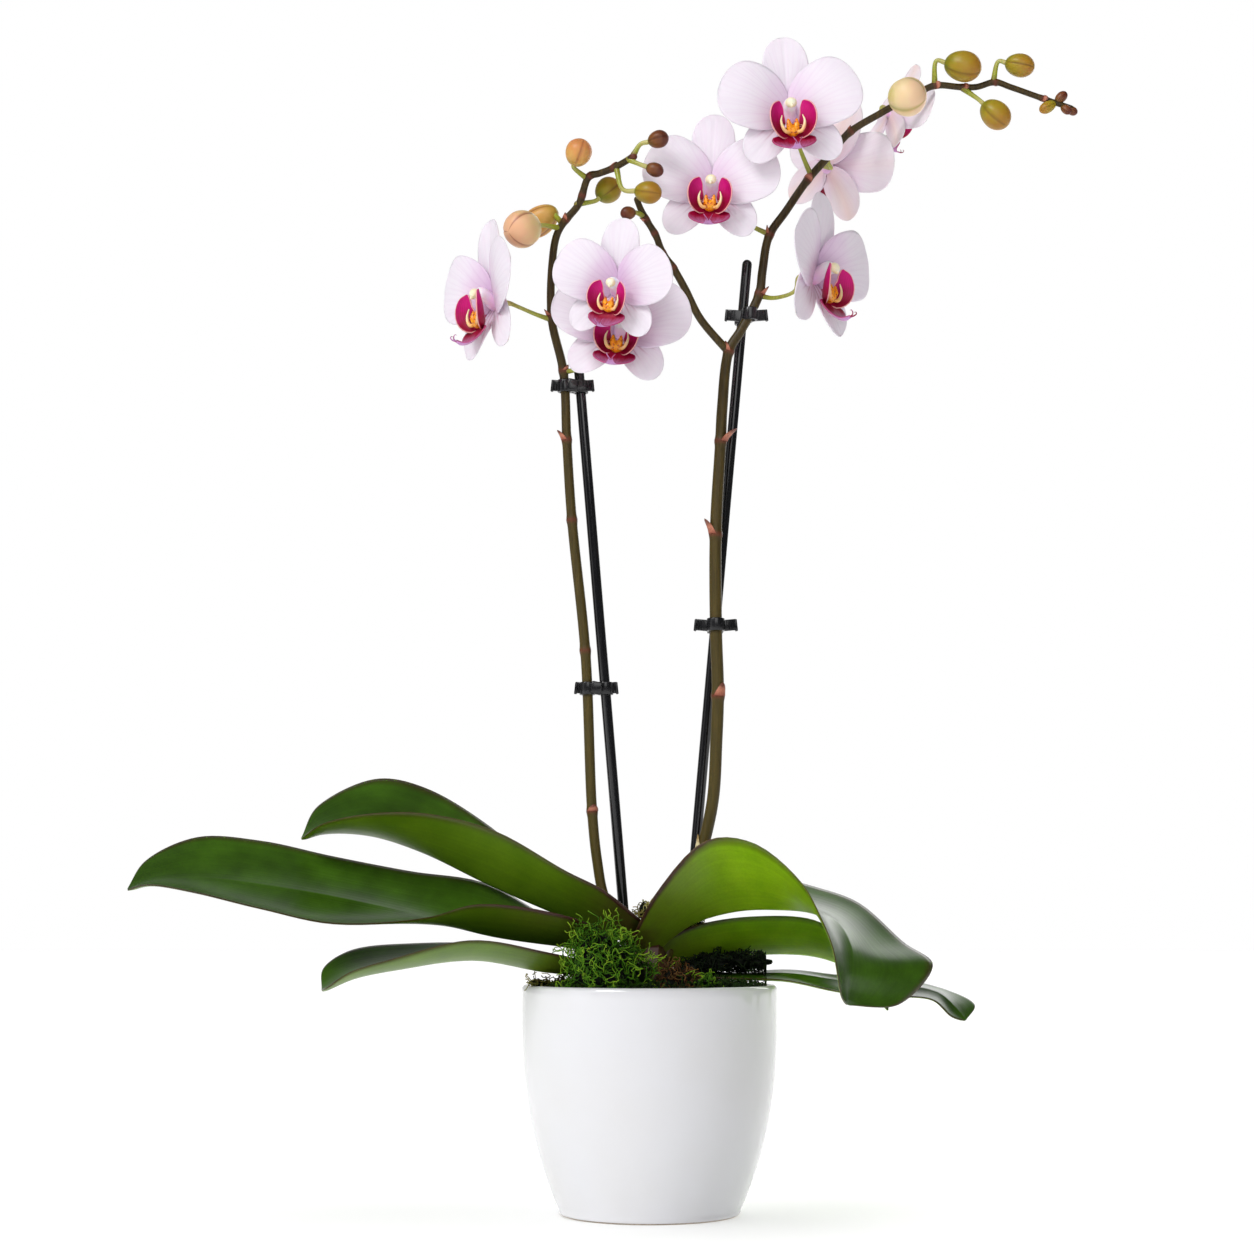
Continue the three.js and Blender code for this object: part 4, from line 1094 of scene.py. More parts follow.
def collar(skin, centre, inner, outer, height, rows=3, sides=40):
    """A ring with rounded edges that hugs a stem, turned about an upright line."""
    edge = 0.5 * MM
    section = []
    corners = ((outer - edge, height / 2 - edge, 0), (outer - edge, edge - height / 2, 270))
    corners += ((inner + edge, edge - height / 2, 180), (inner + edge, height / 2 - edge, 90))
    for r, z, start in corners:
        for step in range(rows + 1):
            a = math.radians(start + 90 - 90 * step / rows)
            section.append((r + edge * math.cos(a), z + edge * math.sin(a)))
    rings = []
    for r, z in section + section[:1]:
        turns = [2 * math.pi * j / sides for j in range(sides)]
        rings.append([centre + Vector((r * math.cos(a), r * math.sin(a), z)) for a in turns])
    skin.rows(rings, lambda i, j: (j / sides, i / len(section)), closed=True)


# A clip in millimetres: boxes are [along the wing, front to back, height].
COLLAR_WALL = 1.7
COLLAR_HEIGHT = 7.5
HINGE_BAR = 1.8  # thickness of the bars between the collars
WING = [10.5, 1.7, 6.6]
WING_END = [1.4, 2.6, 7.0]
CLIP_NOSE = [6.4, 3.4, 7.4]  # the block that the wings spread from
WING_FROM_NOSE = 7.2
END_FROM_WING = 4.6
# The grips on the wings: where each row starts from the nose, and the ribs in it.
GRIP_STARTS = (-10.2, 4.6)
GRIP_RIBS = {"Count": 4, "Pitch": 1.7 * MM, "Rib width": 0.42 * MM, "Rib height": 5.4 * MM}


def clip_mesh(name, side, height, stake_radius):
    """One clip's mesh and the middle of its nose."""
    z = RIM_HEIGHT + height * MM
    path = SPIKES[side]
    nearest = min(range(len(path.line)), key=lambda i: abs(z - path.line[i].z))
    stem_at = path.line[nearest].copy()
    share = path.reach[nearest] / path.length
    foot, top = stake_ends(side)
    stake_at = foot.lerp(top, (z - foot.z) / (top.z - foot.z))
    stem_at.z = stake_at.z = z
    stem_radius = spike_radius(side, share)
    wall, band = COLLAR_WALL * MM, COLLAR_HEIGHT * MM
    skin = Skin()
    collar(skin, stem_at, stem_radius + 0.2 * MM, stem_radius + wall, band)
    collar(skin, stake_at, stake_radius + 0.1 * MM, stake_radius + wall, band)
    rings = skin.mesh(name)
    bm = bmesh.new()
    bm.from_mesh(rings)
    middle = stem_at.lerp(stake_at, 0.5)
    reach = stake_at - stem_at
    front = Vector((0, -1, 0))
    turn = Matrix.Rotation(math.atan2(reach.y, reach.x), 3, "Z")
    # the hinge bars bridge the two collars in front and behind
    for way in (1, -1):
        across = turn @ Vector((0, way, 0))
        bar = (reach.length * 0.7, HINGE_BAR * MM, band * 0.86)
        block(bm, bar, middle + across * (stem_radius + 0.6 * MM), turn, 0.5 * MM)
    # the two finger wings lean a little, each ends in a thicker lip, and the nose joins them
    face = middle + front * (stem_radius + 1.2 * MM)
    spin = lambda degrees, axis: Matrix.Rotation(math.radians(degrees), 3, axis)
    box = lambda sizes: [c * MM for c in sizes]
    for way in (-1, 1):
        root = face + Vector((way * WING_FROM_NOSE * MM, 1.6 * MM, 0))
        lean = spin(-6 * way, "Y") @ spin(10 * way, "Z")
        block(bm, box(WING), root, lean, 0.45 * MM)
        block(bm, box(WING_END), root + Vector((way * END_FROM_WING * MM, 0, 0)), lean, 0.4 * MM)
    block(bm, box(CLIP_NOSE), face, spin(12, "Y"), 0.9 * MM)
    bmesh.ops.recalc_face_normals(bm, faces=bm.faces)
    bm.to_mesh(rings)
    bm.free()
    rings.shade_smooth()
    rings.set_sharp_from_angle(angle=math.radians(35))
    return rings, face


class OrchidClips(bpy.types.Operator):
    """Adds the four spring clips that tie the spikes to the stakes"""

    bl_idname = "orchid.clips"
    bl_label = "Clips"

    def execute(self, context):
        settings = context.scene.orchid_stems
        finish = black_plastic("moulded_black_plastic", settings.stake, 0.2, 0.08)
        for name, (side, height) in CLIPS.items():
            mesh, face = clip_mesh(name + "_body", side, height, settings.stake_diameter / 2)
            add_piece(name + "_body", mesh, [finish], "clip_plastic", name)
            ribs = grip_ribs(name + "_grips", face, finish)
            add_piece(name + "_grips", ribs, [], "clip_plastic", name)
        return {"FINISHED"}


# ---- Geometry Nodes: what repeats ----


def start_tree(name, inputs):
    """A Geometry Nodes tree with a mesh in and out and these named inputs, name: (kind, value)."""
    tree = bpy.data.node_groups.new(name, "GeometryNodeTree")
    tree.interface.new_socket("Geometry", in_out="INPUT", socket_type="NodeSocketGeometry")
    tree.interface.new_socket("Geometry", in_out="OUTPUT", socket_type="NodeSocketGeometry")
    sockets = {}
    for label, (kind, value) in inputs.items():
        socket = tree.interface.new_socket(label, in_out="INPUT", socket_type="NodeSocket" + kind)
        if value is not None:
            socket.default_value = value
        sockets[label] = socket.identifier
    return tree, sockets, tree.nodes.new("NodeGroupInput").outputs


def grow(name, base, tree, sockets, values):
    """The plain mesh that a tree makes from a base mesh with these input values."""
    holder = bpy.data.objects.new(name + "_base", base)
    bpy.context.scene.collection.objects.link(holder)
    modifier = holder.modifiers.new("grow", "NODES")
    modifier.node_group = tree
    for label, value in values.items():
        modifier[sockets[label]] = value
    bpy.context.view_layer.update()
    evaluated = holder.evaluated_get(bpy.context.evaluated_depsgraph_get())
    mesh = bpy.data.meshes.new_from_object(evaluated)
    holder.modifiers.remove(modifier)
    bpy.data.objects.remove(holder)
    mesh.name = name
    return mesh


def rib_tree():
    """Ribs side by side on each grip: a row of rounded bars, repeated along X."""
    tree, sockets, given = start_tree(
        "grip_ribs",
        {"Count": ("Int", 5), "Pitch": ("Float", 0.0016), "Rib width": ("Float", 0.0007),
         "Rib height": ("Float", 0.0058), "Material": ("Material", None)},
    )
    step = add(tree, "ShaderNodeCombineXYZ", {0: given["Pitch"]})
    row = add(tree, "GeometryNodeMeshLine", {"Count": given["Count"], "Offset": step}, mode="OFFSET")
    on_base = add(tree, "GeometryNodeInstanceOnPoints", {"Points": given["Geometry"], "Instance": row})
    placed = add(tree, "GeometryNodeRealizeInstances", {"Geometry": on_base})
    bar = add(
        tree, "GeometryNodeMeshCylinder",
        {"Vertices": 10, "Radius": given["Rib width"], "Depth": given["Rib height"]},
    )
    bars = add(tree, "GeometryNodeInstanceOnPoints", {"Points": placed, "Instance": bar.outputs["Mesh"]})
    made = add(tree, "GeometryNodeRealizeInstances", {"Geometry": bars})
    finished = add(tree, "GeometryNodeSetMaterial", {"Geometry": made, "Material": given["Material"]})
    add(tree, "NodeGroupOutput", {"Geometry": finished})
    return tree, sockets


def grip_ribs(name, face, finish):
    """The ribs on a clip's two wings, as one mesh."""
    tree, sockets = rib_tree()
    starts = [face + Vector((x * MM, 0.95 * MM, 0)) for x in GRIP_STARTS]
    base = bpy.data.meshes.new(name)
    base.from_pydata(starts, [], [])
    mesh = grow(name, base, tree, sockets, {**GRIP_RIBS, "Material": finish})
    mesh.shade_smooth()
    mesh.set_sharp_from_angle(angle=math.radians(50))
    return mesh


STRAND_SIZES = (0.45, 1.2)  # a strand's own size over the set length
STRAND_TURNS = 1.3
STRAND_STEPS = 12
# the first share is random tone between strands; the second darkens each strand from tip to root: painted
# shade deep in the moss
STRAND_TINT_AND_ROOT_SHADE = (0.55, 0.45)  # how far tint varies from strand to strand, and from root to tip
STRAND_WANDER = 3.6  # how far the noise bends a strand, over the set curl
STRAND_LEAN = 1.25  # radians


def moss_tree():
    """Curly strands that stand on a surface, over a shrunken core painted near-black as the shade deep among
    them; none passes the keep-in radius round the pot's axis."""
    tree, sockets, given = start_tree(
        "moss_strands",
        {"Density": ("Float", 200000.0), "Strand length": ("Float", 0.009),
         "Strand radius": ("Float", 0.0004), "Curl": ("Float", 0.003), "Lean": ("Float", 1.1),
         "Core inset": ("Float", 0.002), "Keep in": ("Float", 0.067), "Seed": ("Int", 7),
         "Strands": ("Material", None), "Core": ("Material", None)},
    )
    inward = add(tree, "ShaderNodeMath", {0: given["Core inset"], 1: -1.0}, operation="MULTIPLY")
    facing = add(tree, "GeometryNodeInputNormal")
    step_in = add(tree, "ShaderNodeVectorMath", {0: facing, 3: inward}, operation="SCALE")
    core = add(tree, "GeometryNodeSetPosition", {"Geometry": given["Geometry"], "Offset": step_in})
    spread = add(
        tree, "GeometryNodeDistributePointsOnFaces",
        {"Mesh": core, "Density": given["Density"], "Seed": given["Seed"]},
    )
    least = add(tree, "ShaderNodeMath", {0: given["Lean"], 1: -1.0}, operation="MULTIPLY")
    low = add(tree, "ShaderNodeCombineXYZ", {0: least, 1: least, 2: -math.pi})
    high = add(tree, "ShaderNodeCombineXYZ", {0: given["Lean"], 1: given["Lean"], 2: math.pi})
    lean = add(
        tree, "FunctionNodeRandomValue", {0: low, 1: high, "Seed": given["Seed"]}, data_type="FLOAT_VECTOR"
    )
    leaning = add(tree, "FunctionNodeEulerToRotation", {0: lean})
    turned = add(
        tree, "FunctionNodeRotateRotation", {0: spread.outputs["Rotation"], 1: leaning},
        rotation_space="LOCAL",
    )
    size = add(
        tree, "FunctionNodeRandomValue",
        {2: STRAND_SIZES[0], 3: STRAND_SIZES[1], "Seed": given["Seed"]},
        data_type="FLOAT",
    )
    wide = add(tree, "ShaderNodeMath", {0: given["Curl"], 1: 0.5}, operation="MULTIPLY")
    strand = add(
        tree, "GeometryNodeCurveSpiral",
        {"Resolution": STRAND_STEPS, "Rotations": STRAND_TURNS, "Start Radius": 0.2 * MM, "End Radius": wide,
         "Height": given["Strand length"]},
    )
    share = add(tree, "GeometryNodeSplineParameter").outputs["Factor"]
    rooted = add(
        tree, "GeometryNodeStoreNamedAttribute", {"Geometry": strand, "Name": "out", "Value": share},
        data_type="FLOAT", domain="POINT",
    )
    placed = add(
        tree, "GeometryNodeInstanceOnPoints",
        {"Points": spread.outputs["Points"], "Instance": rooted, "Rotation": turned, "Scale": size},
    )
    shade = add(
        tree, "FunctionNodeRandomValue",
        {2: 0.0, 3: STRAND_TINT_AND_ROOT_SHADE[0], "Seed": given["Seed"]},
        data_type="FLOAT",
    )
    marked = add(
        tree, "GeometryNodeStoreNamedAttribute", {"Geometry": placed, "Name": "own", "Value": shade},
        data_type="FLOAT", domain="INSTANCE",
    )
    loose = add(tree, "GeometryNodeRealizeInstances", {"Geometry": marked})
    # tint is a random share for each strand plus a share that grows from root to tip, so the roots come out
    # darker: painted shade deep in the moss
    own = add(tree, "GeometryNodeInputNamedAttribute", {"Name": "own"}, data_type="FLOAT")
    out = add(tree, "GeometryNodeInputNamedAttribute", {"Name": "out"}, data_type="FLOAT")
    tint_with_root_shade = add(tree, "ShaderNodeMath", {0: out, 1: STRAND_TINT_AND_ROOT_SHADE[1], 2: own}, operation="MULTIPLY_ADD")
    tinted = add(
        tree, "GeometryNodeStoreNamedAttribute", {"Geometry": loose, "Name": "tint", "Value": tint_with_root_shade},
        data_type="FLOAT", domain="POINT",
    )
    wander = add(tree, "ShaderNodeTexNoise", {"Scale": per_metre(4.5), "Detail": 1.0})
    centred = add(
        tree, "ShaderNodeVectorMath", {0: wander.outputs["Color"], 1: (0.5, 0.5, 0.5)}, operation="SUBTRACT"
    )
    shift = add(tree, "ShaderNodeVectorMath", {0: centred, 3: given["Curl"]}, operation="SCALE")
    wide_shift = add(tree, "ShaderNodeVectorMath", {0: shift, 3: STRAND_WANDER}, operation="SCALE")
    curled = add(tree, "GeometryNodeSetPosition", {"Geometry": tinted, "Offset": wide_shift})
    # points beyond the keep-in radius are drawn back to it
    where = add(tree, "GeometryNodeInputPosition")
    flat = add(tree, "ShaderNodeVectorMath", {0: where, 1: (1.0, 1.0, 0.0)}, operation="MULTIPLY")
    reach = add(tree, "ShaderNodeVectorMath", {0: flat}, operation="LENGTH").outputs["Value"]
    ratio = add(tree, "ShaderNodeMath", {0: given["Keep in"], 1: reach}, operation="DIVIDE")
    held = add(tree, "ShaderNodeMath", {0: ratio, 1: 1.0}, operation="MINIMUM")
    less = add(tree, "ShaderNodeMath", {0: held, 1: 1.0}, operation="SUBTRACT")
    back = add(tree, "ShaderNodeVectorMath", {0: flat, 3: less}, operation="SCALE")
    kept = add(tree, "GeometryNodeSetPosition", {"Geometry": curled, "Offset": back})
    ring = add(tree, "GeometryNodeCurvePrimitiveCircle", {"Resolution": 4, "Radius": given["Strand radius"]})
    solid = add(
        tree, "GeometryNodeCurveToMesh", {"Curve": kept, "Profile Curve": ring, "Fill Caps": True}
    )
    smooth = add(tree, "GeometryNodeSetShadeSmooth", {"Geometry": solid})
    strands = add(tree, "GeometryNodeSetMaterial", {"Geometry": smooth, "Material": given["Strands"]})
    # the shrunken core takes the near-black Core finish: a sheet of painted shade under the strands
    shaded = add(tree, "GeometryNodeSetMaterial", {"Geometry": core, "Material": given["Core"]})
    both = add(tree, "GeometryNodeJoinGeometry", {0: strands})
    tree.links.new(shaded.outputs[0], both.inputs[0])
    whole = add(tree, "GeometryNodeRealizeInstances", {"Geometry": both})
    add(tree, "NodeGroupOutput", {"Geometry": whole})
    return tree, sockets


# Each tuft that stands for a CAD node: node, strands to a square millimetre, length over the set
# length, core inset in millimetres, how much its right side droops, finish, slot.
MOSS = {
    # the bed's dark moss and the back clump's black moss are the green darkened: painted shade under the
    # leaves
    "moss_floor": ["moss_bed", 0.16, 0.6, 0.5, 0, "dark", "moss"],
    "moss_tuft_front": ["moss_clump_front", 0.19, 1.15, 4.5, 0.5, "green", "moss"],
    "moss_tuft_right": ["moss_clump_right", 0.26, 0.5, 3.5, 0.3, "dry", "dry_moss"],
    "moss_tuft_back": ["moss_clump_back", 0.24, 0.3, 4.0, 0, "black", "moss"],
}
WISP_INSET = 1.2
# Loose wisps: middle, half sizes, strands to a square millimetre, length, keep-in radius, finish.
WISPS = {
    "moss_wisp_over_rim": [[-62, -22, 2], [6, 5, 1.5], 0.16, 0.55, 76, "straw"],
    "moss_wisp_left": [[-48, -30, 0], [8, 5, 3], 0.2, 0.45, 67, "olive"],
    "moss_wisp_front": [[29, -52, 3], [7, 4, 2.5], 0.24, 0.6, 67, "green"],
    # the black kind here is painted shade behind the crown
    "moss_wisp_behind_crown": [[27, 4, 7], [12, 6, 7], 0.2, 0.4, 66, "black"],
    "moss_wisp_between_leaves": [[-3, 22, 41], [4, 3, 7], 0.2, 0.5, 76, "straw"],
    "moss_wisp_by_spike": [[28, 26, 34], [5, 3, 3], 0.18, 0.4, 76, "straw"],
}


def moss_finishes(green, dry):
    """Each kind of moss with its material's name and its colours from root to tip; the darkest stops are
    painted shade at the roots, and the dark and black kinds are moss painted as lying in shade.
    """
    return {
        "green": [
            "preserved_moss_green", [(0.1, "#040A00"), (0.36, green), (0.62, "#3A660A"), (0.9, "#86A828")],
        ],
        # dark and black: the moss darkened as painted shade where it lies under the leaves and behind the
        # crown
        "dark": ["preserved_moss_dark", [(0.1, "#040A01"), (0.55, "#0E1E06"), (0.95, "#2C4612")]],
        "black": ["preserved_moss_black", [(0.1, "#020401"), (0.6, "#060D03"), (0.95, "#142408")]],
        "olive": ["preserved_moss_olive", [(0.1, "#0C0E02"), (0.5, "#34380C"), (0.95, "#6E6E22")]],
        "dry": ["dry_moss", [(0.1, "#120A04"), (0.5, dry), (0.95, "#6E5028")]],
        "straw": ["dry_moss_straw", [(0.1, "#3E3A14"), (0.5, "#8A8440"), (0.95, "#C9BE86")]],
    }


def droop(mesh, amount):
    """Lowers the right side of a tuft, more towards its right end."""
    xs = [v.co.x for v in mesh.vertices]
    low = min(v.co.z for v in mesh.vertices)
    start, end = min(xs) + 0.2 * (max(xs) - min(xs)), max(xs)
    for vert in mesh.vertices:
        share = max(0, (vert.co.x - start) / (end - start))
        vert.co.z = low + (vert.co.z - low) * (1 - amount * share)


def welded(mesh, sag):
    """A copy of a CAD node's mesh, drooped, its triangles joined at their corners."""
    base = mesh.copy()
    droop(base, sag)
    bm = bmesh.new()
    bm.from_mesh(base)
    bmesh.ops.remove_doubles(bm, verts=bm.verts, dist=0.01 * MM)
    bm.to_mesh(base)
    bm.free()
    return base


class OrchidMoss(bpy.types.Operator):
    """Adds the moss: a strand-covered bed, three tufts and the loose wisps"""

    bl_idname = "orchid.moss"
    bl_label = "Moss"

    def execute(self, context):
        settings = context.scene.orchid_moss
        green, dry = tuple(settings.green), tuple(settings.dry)
        finishes = {key: moss_fibre(*row) for key, row in moss_finishes(green, dry).items()}
        # the core's near-black colours are painted shade for the depth of the moss
        core = moss_fibre("moss_shade", [(0.2, "#040802"), (0.8, "#0A1004")])
        tree, sockets = moss_tree()
        values = {
            "Strand radius": settings.strand_radius, "Curl": settings.curl, "Lean": STRAND_LEAN,
            "Seed": settings.seed, "Core": core,
        }

        def add_moss(name, base, density, longer, inset, reach, finish, slot, node):
            values.update({
                "Density": density / MM**2, "Strand length": settings.strand_length * longer,
                "Core inset": inset * MM, "Keep in": reach, "Strands": finishes[finish],
            })
            add_piece(name, grow(name, base, tree, sockets, values), [], slot, node)

        for name, (node, density, longer, inset, sag, finish, slot) in MOSS.items():
            base = welded(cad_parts[node].data, sag)
            add_moss(name, base, density, longer, inset, MOSS_REACH, finish, slot, node)
        for name, (middle, half, density, longer, reach, finish) in WISPS.items():
            ball = Skin()
            ball.ball(above_rim(middle), [c * MM for c in half])
            base = ball.mesh(name + "_core")
            add_moss(name, base, density, longer, WISP_INSET, reach * MM, finish, "moss", "moss_bed")
        return {"FINISHED"}


# ---- Spikes ----


SPIKE_STEP = 1.3 * MM
NODE_REACH = 2.2 * MM  # how far a node's swelling spreads along the spike
BRACT_THICKNESS = 0.45 * MM
BRACT_ARC = 1.35  # half of how far a bract wraps the stem at its foot, in radians


class OrchidSpikes(bpy.types.Operator):
    """Adds the two flower spikes and the branch, with their nodes, bracts and tip buds"""

    bl_idname = "orchid.spikes"
    bl_label = "Spikes"

    def execute(self, context):
        settings = context.scene.orchid_stems
        rind = spike_rind(settings.low, settings.high, settings.ring)
        bract = bract_scale("dry_bract", ["#8A4632", "#B8745A", "#6A3828"])
        sheath_finish = bract_scale("papery_sheath", ["#C9B27A", "#E2D2A2", "#A88A50"])
        for name, path in SPIKES.items():
            skin, scales = Skin(), Skin()
            rings = [(path.share_near(x, h) * path.length, *rest) for x, h, *rest in SPIKE_RINGS[name]]
            steps = int(path.length / SPIKE_STEP)
            shares = [i / steps for i in range(steps + 1)]
            near = lambda share: max(
                math.exp(-(((share * path.length - at) / NODE_REACH) ** 2)) for at, *_ in rings
            )
            line = [path.at(share) for share in shares]
            radii = [spike_radius(name, t) * (1 + settings.node_swell * near(t)) for t in shares]
            skin.tube(line, radii, sides=24, tint=lambda i: 0.75 * near(shares[i]) ** 3)
            piece = f"{name}_flower_spike"
            add_piece(piece, skin.mesh(piece), [rind], "spike", SPIKE_NODES[name])
            for at, long, *turn_and_lean in rings:
                share = at / path.length
                if long:
                    add_bract(scales, path, share, spike_radius(name, share), long, *turn_and_lean)
            if name == "right":
                x, height, *sheath = SHEATH
                at = path.share_near(x, height)
                add_bract(scales, path, at, spike_radius(name, at), *sheath, mark=1)
            piece = f"{name}_spike_bracts"
            add_piece(piece, scales.mesh(piece), [bract, sheath_finish], "spike", SPIKE_NODES[name])
        add_tip_buds()
        return {"FINISHED"}


def add_bract(skin, path, share, radius, long, where, lean, mark=0):
    """A scale that hugs a spike at a node and stands off it at its tip."""
    foot, way = path.at(share), path.ahead(share)
    side = Vector((1, 0, 0)) - way * way.x
    side.normalize()
    front = side.cross(way)
    rows, columns = 10, 11
    grid = np.zeros((rows, columns, 3))
    plan = np.zeros((rows, columns, 2))
    for i in range(rows):
        t = i / (rows - 1)
        for j in range(columns):
            s = 1 - 2 * j / (columns - 1)
            a = math.radians(where) + s * BRACT_ARC * (1 - t) ** 0.7
            out = radius * 1.06 + (0.25 + lean * long * t**1.4) * MM
            off = (side * math.cos(a) + front * math.sin(a)) * out
            grid[i, j] = foot + way * (long * t * MM) + off
            plan[i, j] = (0.5 + s / 2, t)
    skin.slab(grid, np.full((rows, columns), BRACT_THICKNESS), plan, marks=(mark, mark))


# ---- Leaves ----


LEAF_ROWS, LEAF_COLUMNS = 72, 37
KEEL_ROUND = 0.09  # how wide the keel's groove is, as a share of half the leaf
LEAF_BOW = 0.07  # how far each half of a leaf bows down
LEAF_WAVE = 0.012  # how far the margin waves
# Each side's finish: name, paler colour, roughness, depth of veins, red flush at the foot, light
# that it lets through.
LEAF_SIDES = {
    "upper": ["leaf_upper_side", "#3E6312", 0.3, 0.18, 0.5, 0.1],
    "under": ["leaf_underside", "#5E7E10", 0.42, 0.12, 1.7, 0.2],
    "bright": ["leaf_underside_lit_through", "#92BC1A", 0.42, 0.12, 1.7, 0.6],
}


def leaf_grid(stations, rows=LEAF_ROWS, columns=LEAF_COLUMNS):
    """A leaf's middle surface, and its plan as [share across, share along]."""
    lines = [[above_rim(s[c] if len(s) > c else s[0]) for s in stations] for c in range(3)]
    grid = np.zeros((rows, columns, 3))
    plan = np.zeros((rows, columns, 2))
    for i in range(rows):
        t = 0.993 * math.sin(math.pi / 2 * i / (rows - 1)) ** 0.85 if i else 0.0
        keel, left, right = [spline(line, t) for line in lines]
        over = right - left
        ahead = spline(lines[0], min(t + 0.01, 1)) - spline(lines[0], max(t - 0.01, 0))
        up = over.cross(ahead).normalized()
        for j in range(columns):
            s = 2 * j / (columns - 1) - 1
            a = math.hypot(s, KEEL_ROUND) - KEEL_ROUND * (1 - abs(s))
            edge = right if s > 0 else left
            wave = LEAF_WAVE * math.sin(9 * t + 2 * s) * s * s
            drop = LEAF_BOW * 2 * a * (1 - abs(s)) - wave
            grid[i, j] = keel.lerp(edge, min(a, 1.0)) - up * over.length * drop
            plan[i, j] = ((s + 1) / 2, t)
    return grid, plan


def leaf_thickness(plan, thickness):
    """Thick at the keel, thin at the edges and the tip."""
    off = np.abs(plan[..., 0] * 2 - 1)
    along = plan[..., 1]
    body = 1 - 0.55 * off**1.5
    edge = np.sqrt(np.clip((1 - off) / 0.05, 0.04, 1))
    tip = np.sqrt(np.clip((1 - along) / 0.04, 0.15, 1))
    return thickness * body * edge * tip


class OrchidLeaves(bpy.types.Operator):
    """Adds the six leaves"""

    bl_idname = "orchid.leaves"
    bl_label = "Leaves"

    def execute(self, context):
        settings = context.scene.orchid_leaves
        margin = settings.margin
        skins = {
            side: leaf_skin(name, getattr(settings, side), srgb(light), margin, *rest)
            for side, (name, light, *rest) in LEAF_SIDES.items()
        }
        for name, stations in LEAVES.items():
            grid, plan = leaf_grid(stations)
            skin = Skin()
            skin.slab(grid, leaf_thickness(plan, settings.thickness), plan)
            below = skins["bright" if name in LIT_THROUGH else "under"]
            add_piece(name + "_blade", skin.mesh(name + "_blade"), [skins["upper"], below], "leaf", name)
        sheath = leaf_skin("leaf_sheath", settings.under, srgb("#6A6A2A"), margin, 0.45, 0.1, 0.5, 0.1)
        finish_node("crown_and_roots", sheath)
        return {"FINISHED"}


# ---- Flowers ----

# Tepals as shares of the flower's width: peak is where along it a tepal is widest, claw how
# narrow it starts, cup lifts its edges, rise its tip, arch its middle, and skew fattens one side.
# Wave and crease are millimetres.
PETAL = {
    "long": 0.53, "wide": 0.5, "peak": 0.6, "claw": 0.16, "cup": 0.03, "rise": 0.26, "arch": 0.1,
    "skew": 0.08, "wave": 0.5, "crease": 0.0,
}
DORSAL = {
    "long": 0.57, "wide": 0.345, "peak": 0.56, "claw": 0.3, "cup": 0.1, "rise": 0.1, "arch": 0.06,
    "skew": 0.0, "wave": 0.3, "crease": 0.5,
}
LATERAL = {
    "long": 0.46, "wide": 0.29, "peak": 0.52, "claw": 0.35, "cup": 0.04, "rise": 0.18, "arch": 0.08,
    "skew": 0.1, "wave": 0.4, "crease": 0.4,
}
OUTLINE_POWER = 2.2


def tepal(form, angle, lift, width, phase):
    """A tepal's middle surface in the flower's own frame, in metres, and its plan from the claw
    in tepal lengths."""
    rows, columns = 34, 27
    t = 0.5 - 0.5 * np.cos(np.pi * np.linspace(0, 1, rows))[:, None]
    s = np.linspace(1, -1, columns)[None, :]
    peak = form["peak"]
    away = np.where(t < peak, (peak - t) / peak, (t - peak) / (1 - peak))
    outline = (1 - away**OUTLINE_POWER) ** (1 / OUTLINE_POWER)
    shape = np.maximum(outline, form["claw"] * (1 - t) ** 2 + 0.02)
    long, half = form["long"] * width, form["wide"] * width / 2 * shape
    mirror = -1 if math.cos(math.radians(angle)) < 0 else 1
    x = long * t + 0 * s
    y = s * half * (1 + mirror * form["skew"] * s)
    z = form["rise"] * long * t + form["arch"] * long * 4 * t * (1 - t) * (1 - 0.3 * s**2)
    crease = np.exp(-((s / 0.13) ** 2)) * np.sin(np.pi * t)
    z = z + form["cup"] * half * s**2 - form["crease"] * MM * crease
    z = z + form["wave"] * MM * s**2 * np.sin(7 * t + 3 * mirror * s + phase) * t
    turn = math.radians(angle)
    along = np.array([math.cos(turn), math.sin(turn), 0])
    side = np.array([-math.sin(turn), math.cos(turn), 0])
    start = np.array([1.5 * math.cos(turn), 1.5 * math.sin(turn), lift]) * MM
    grid = start + x[..., None] * along + y[..., None] * side
    grid[..., 2] += z
    plan = np.stack([x / long, y / long], axis=-1)
    return grid, plan


def tepal_thickness(plan):
    """Fleshy by the claw and thin as paper at the margin."""
    return (0.55 + 0.75 * np.clip(1 - plan[..., 0] * 2.2, 0, 1)) * MM


def lobe(points, wide, cup, facing, rows=22, columns=17):
    """A lip lobe along a path of points in metres: wide gives its half width along it, cup bends
    its edges towards facing. Its plan is [share along, share across]."""
    grid = np.zeros((rows, columns, 3))
    plan = np.zeros((rows, columns, 2))
    for i in range(rows):
        t = 0.5 - 0.5 * math.cos(math.pi * i / (rows - 1))
        centre = spline(points, t)
        ahead = (spline(points, min(t + 0.02, 1)) - spline(points, max(t - 0.02, 0))).normalized()
        side = ahead.cross(Vector(facing)).normalized()
        up = side.cross(ahead)
        half = float(through(wide, np.array(t))) * MM
        for j in range(columns):
            s = 1 - 2 * j / (columns - 1)
            grid[i, j] = centre + side * s * half + up * cup * half * s * s
            plan[i, j] = (t, 0.5 + s / 2)
    return grid, plan


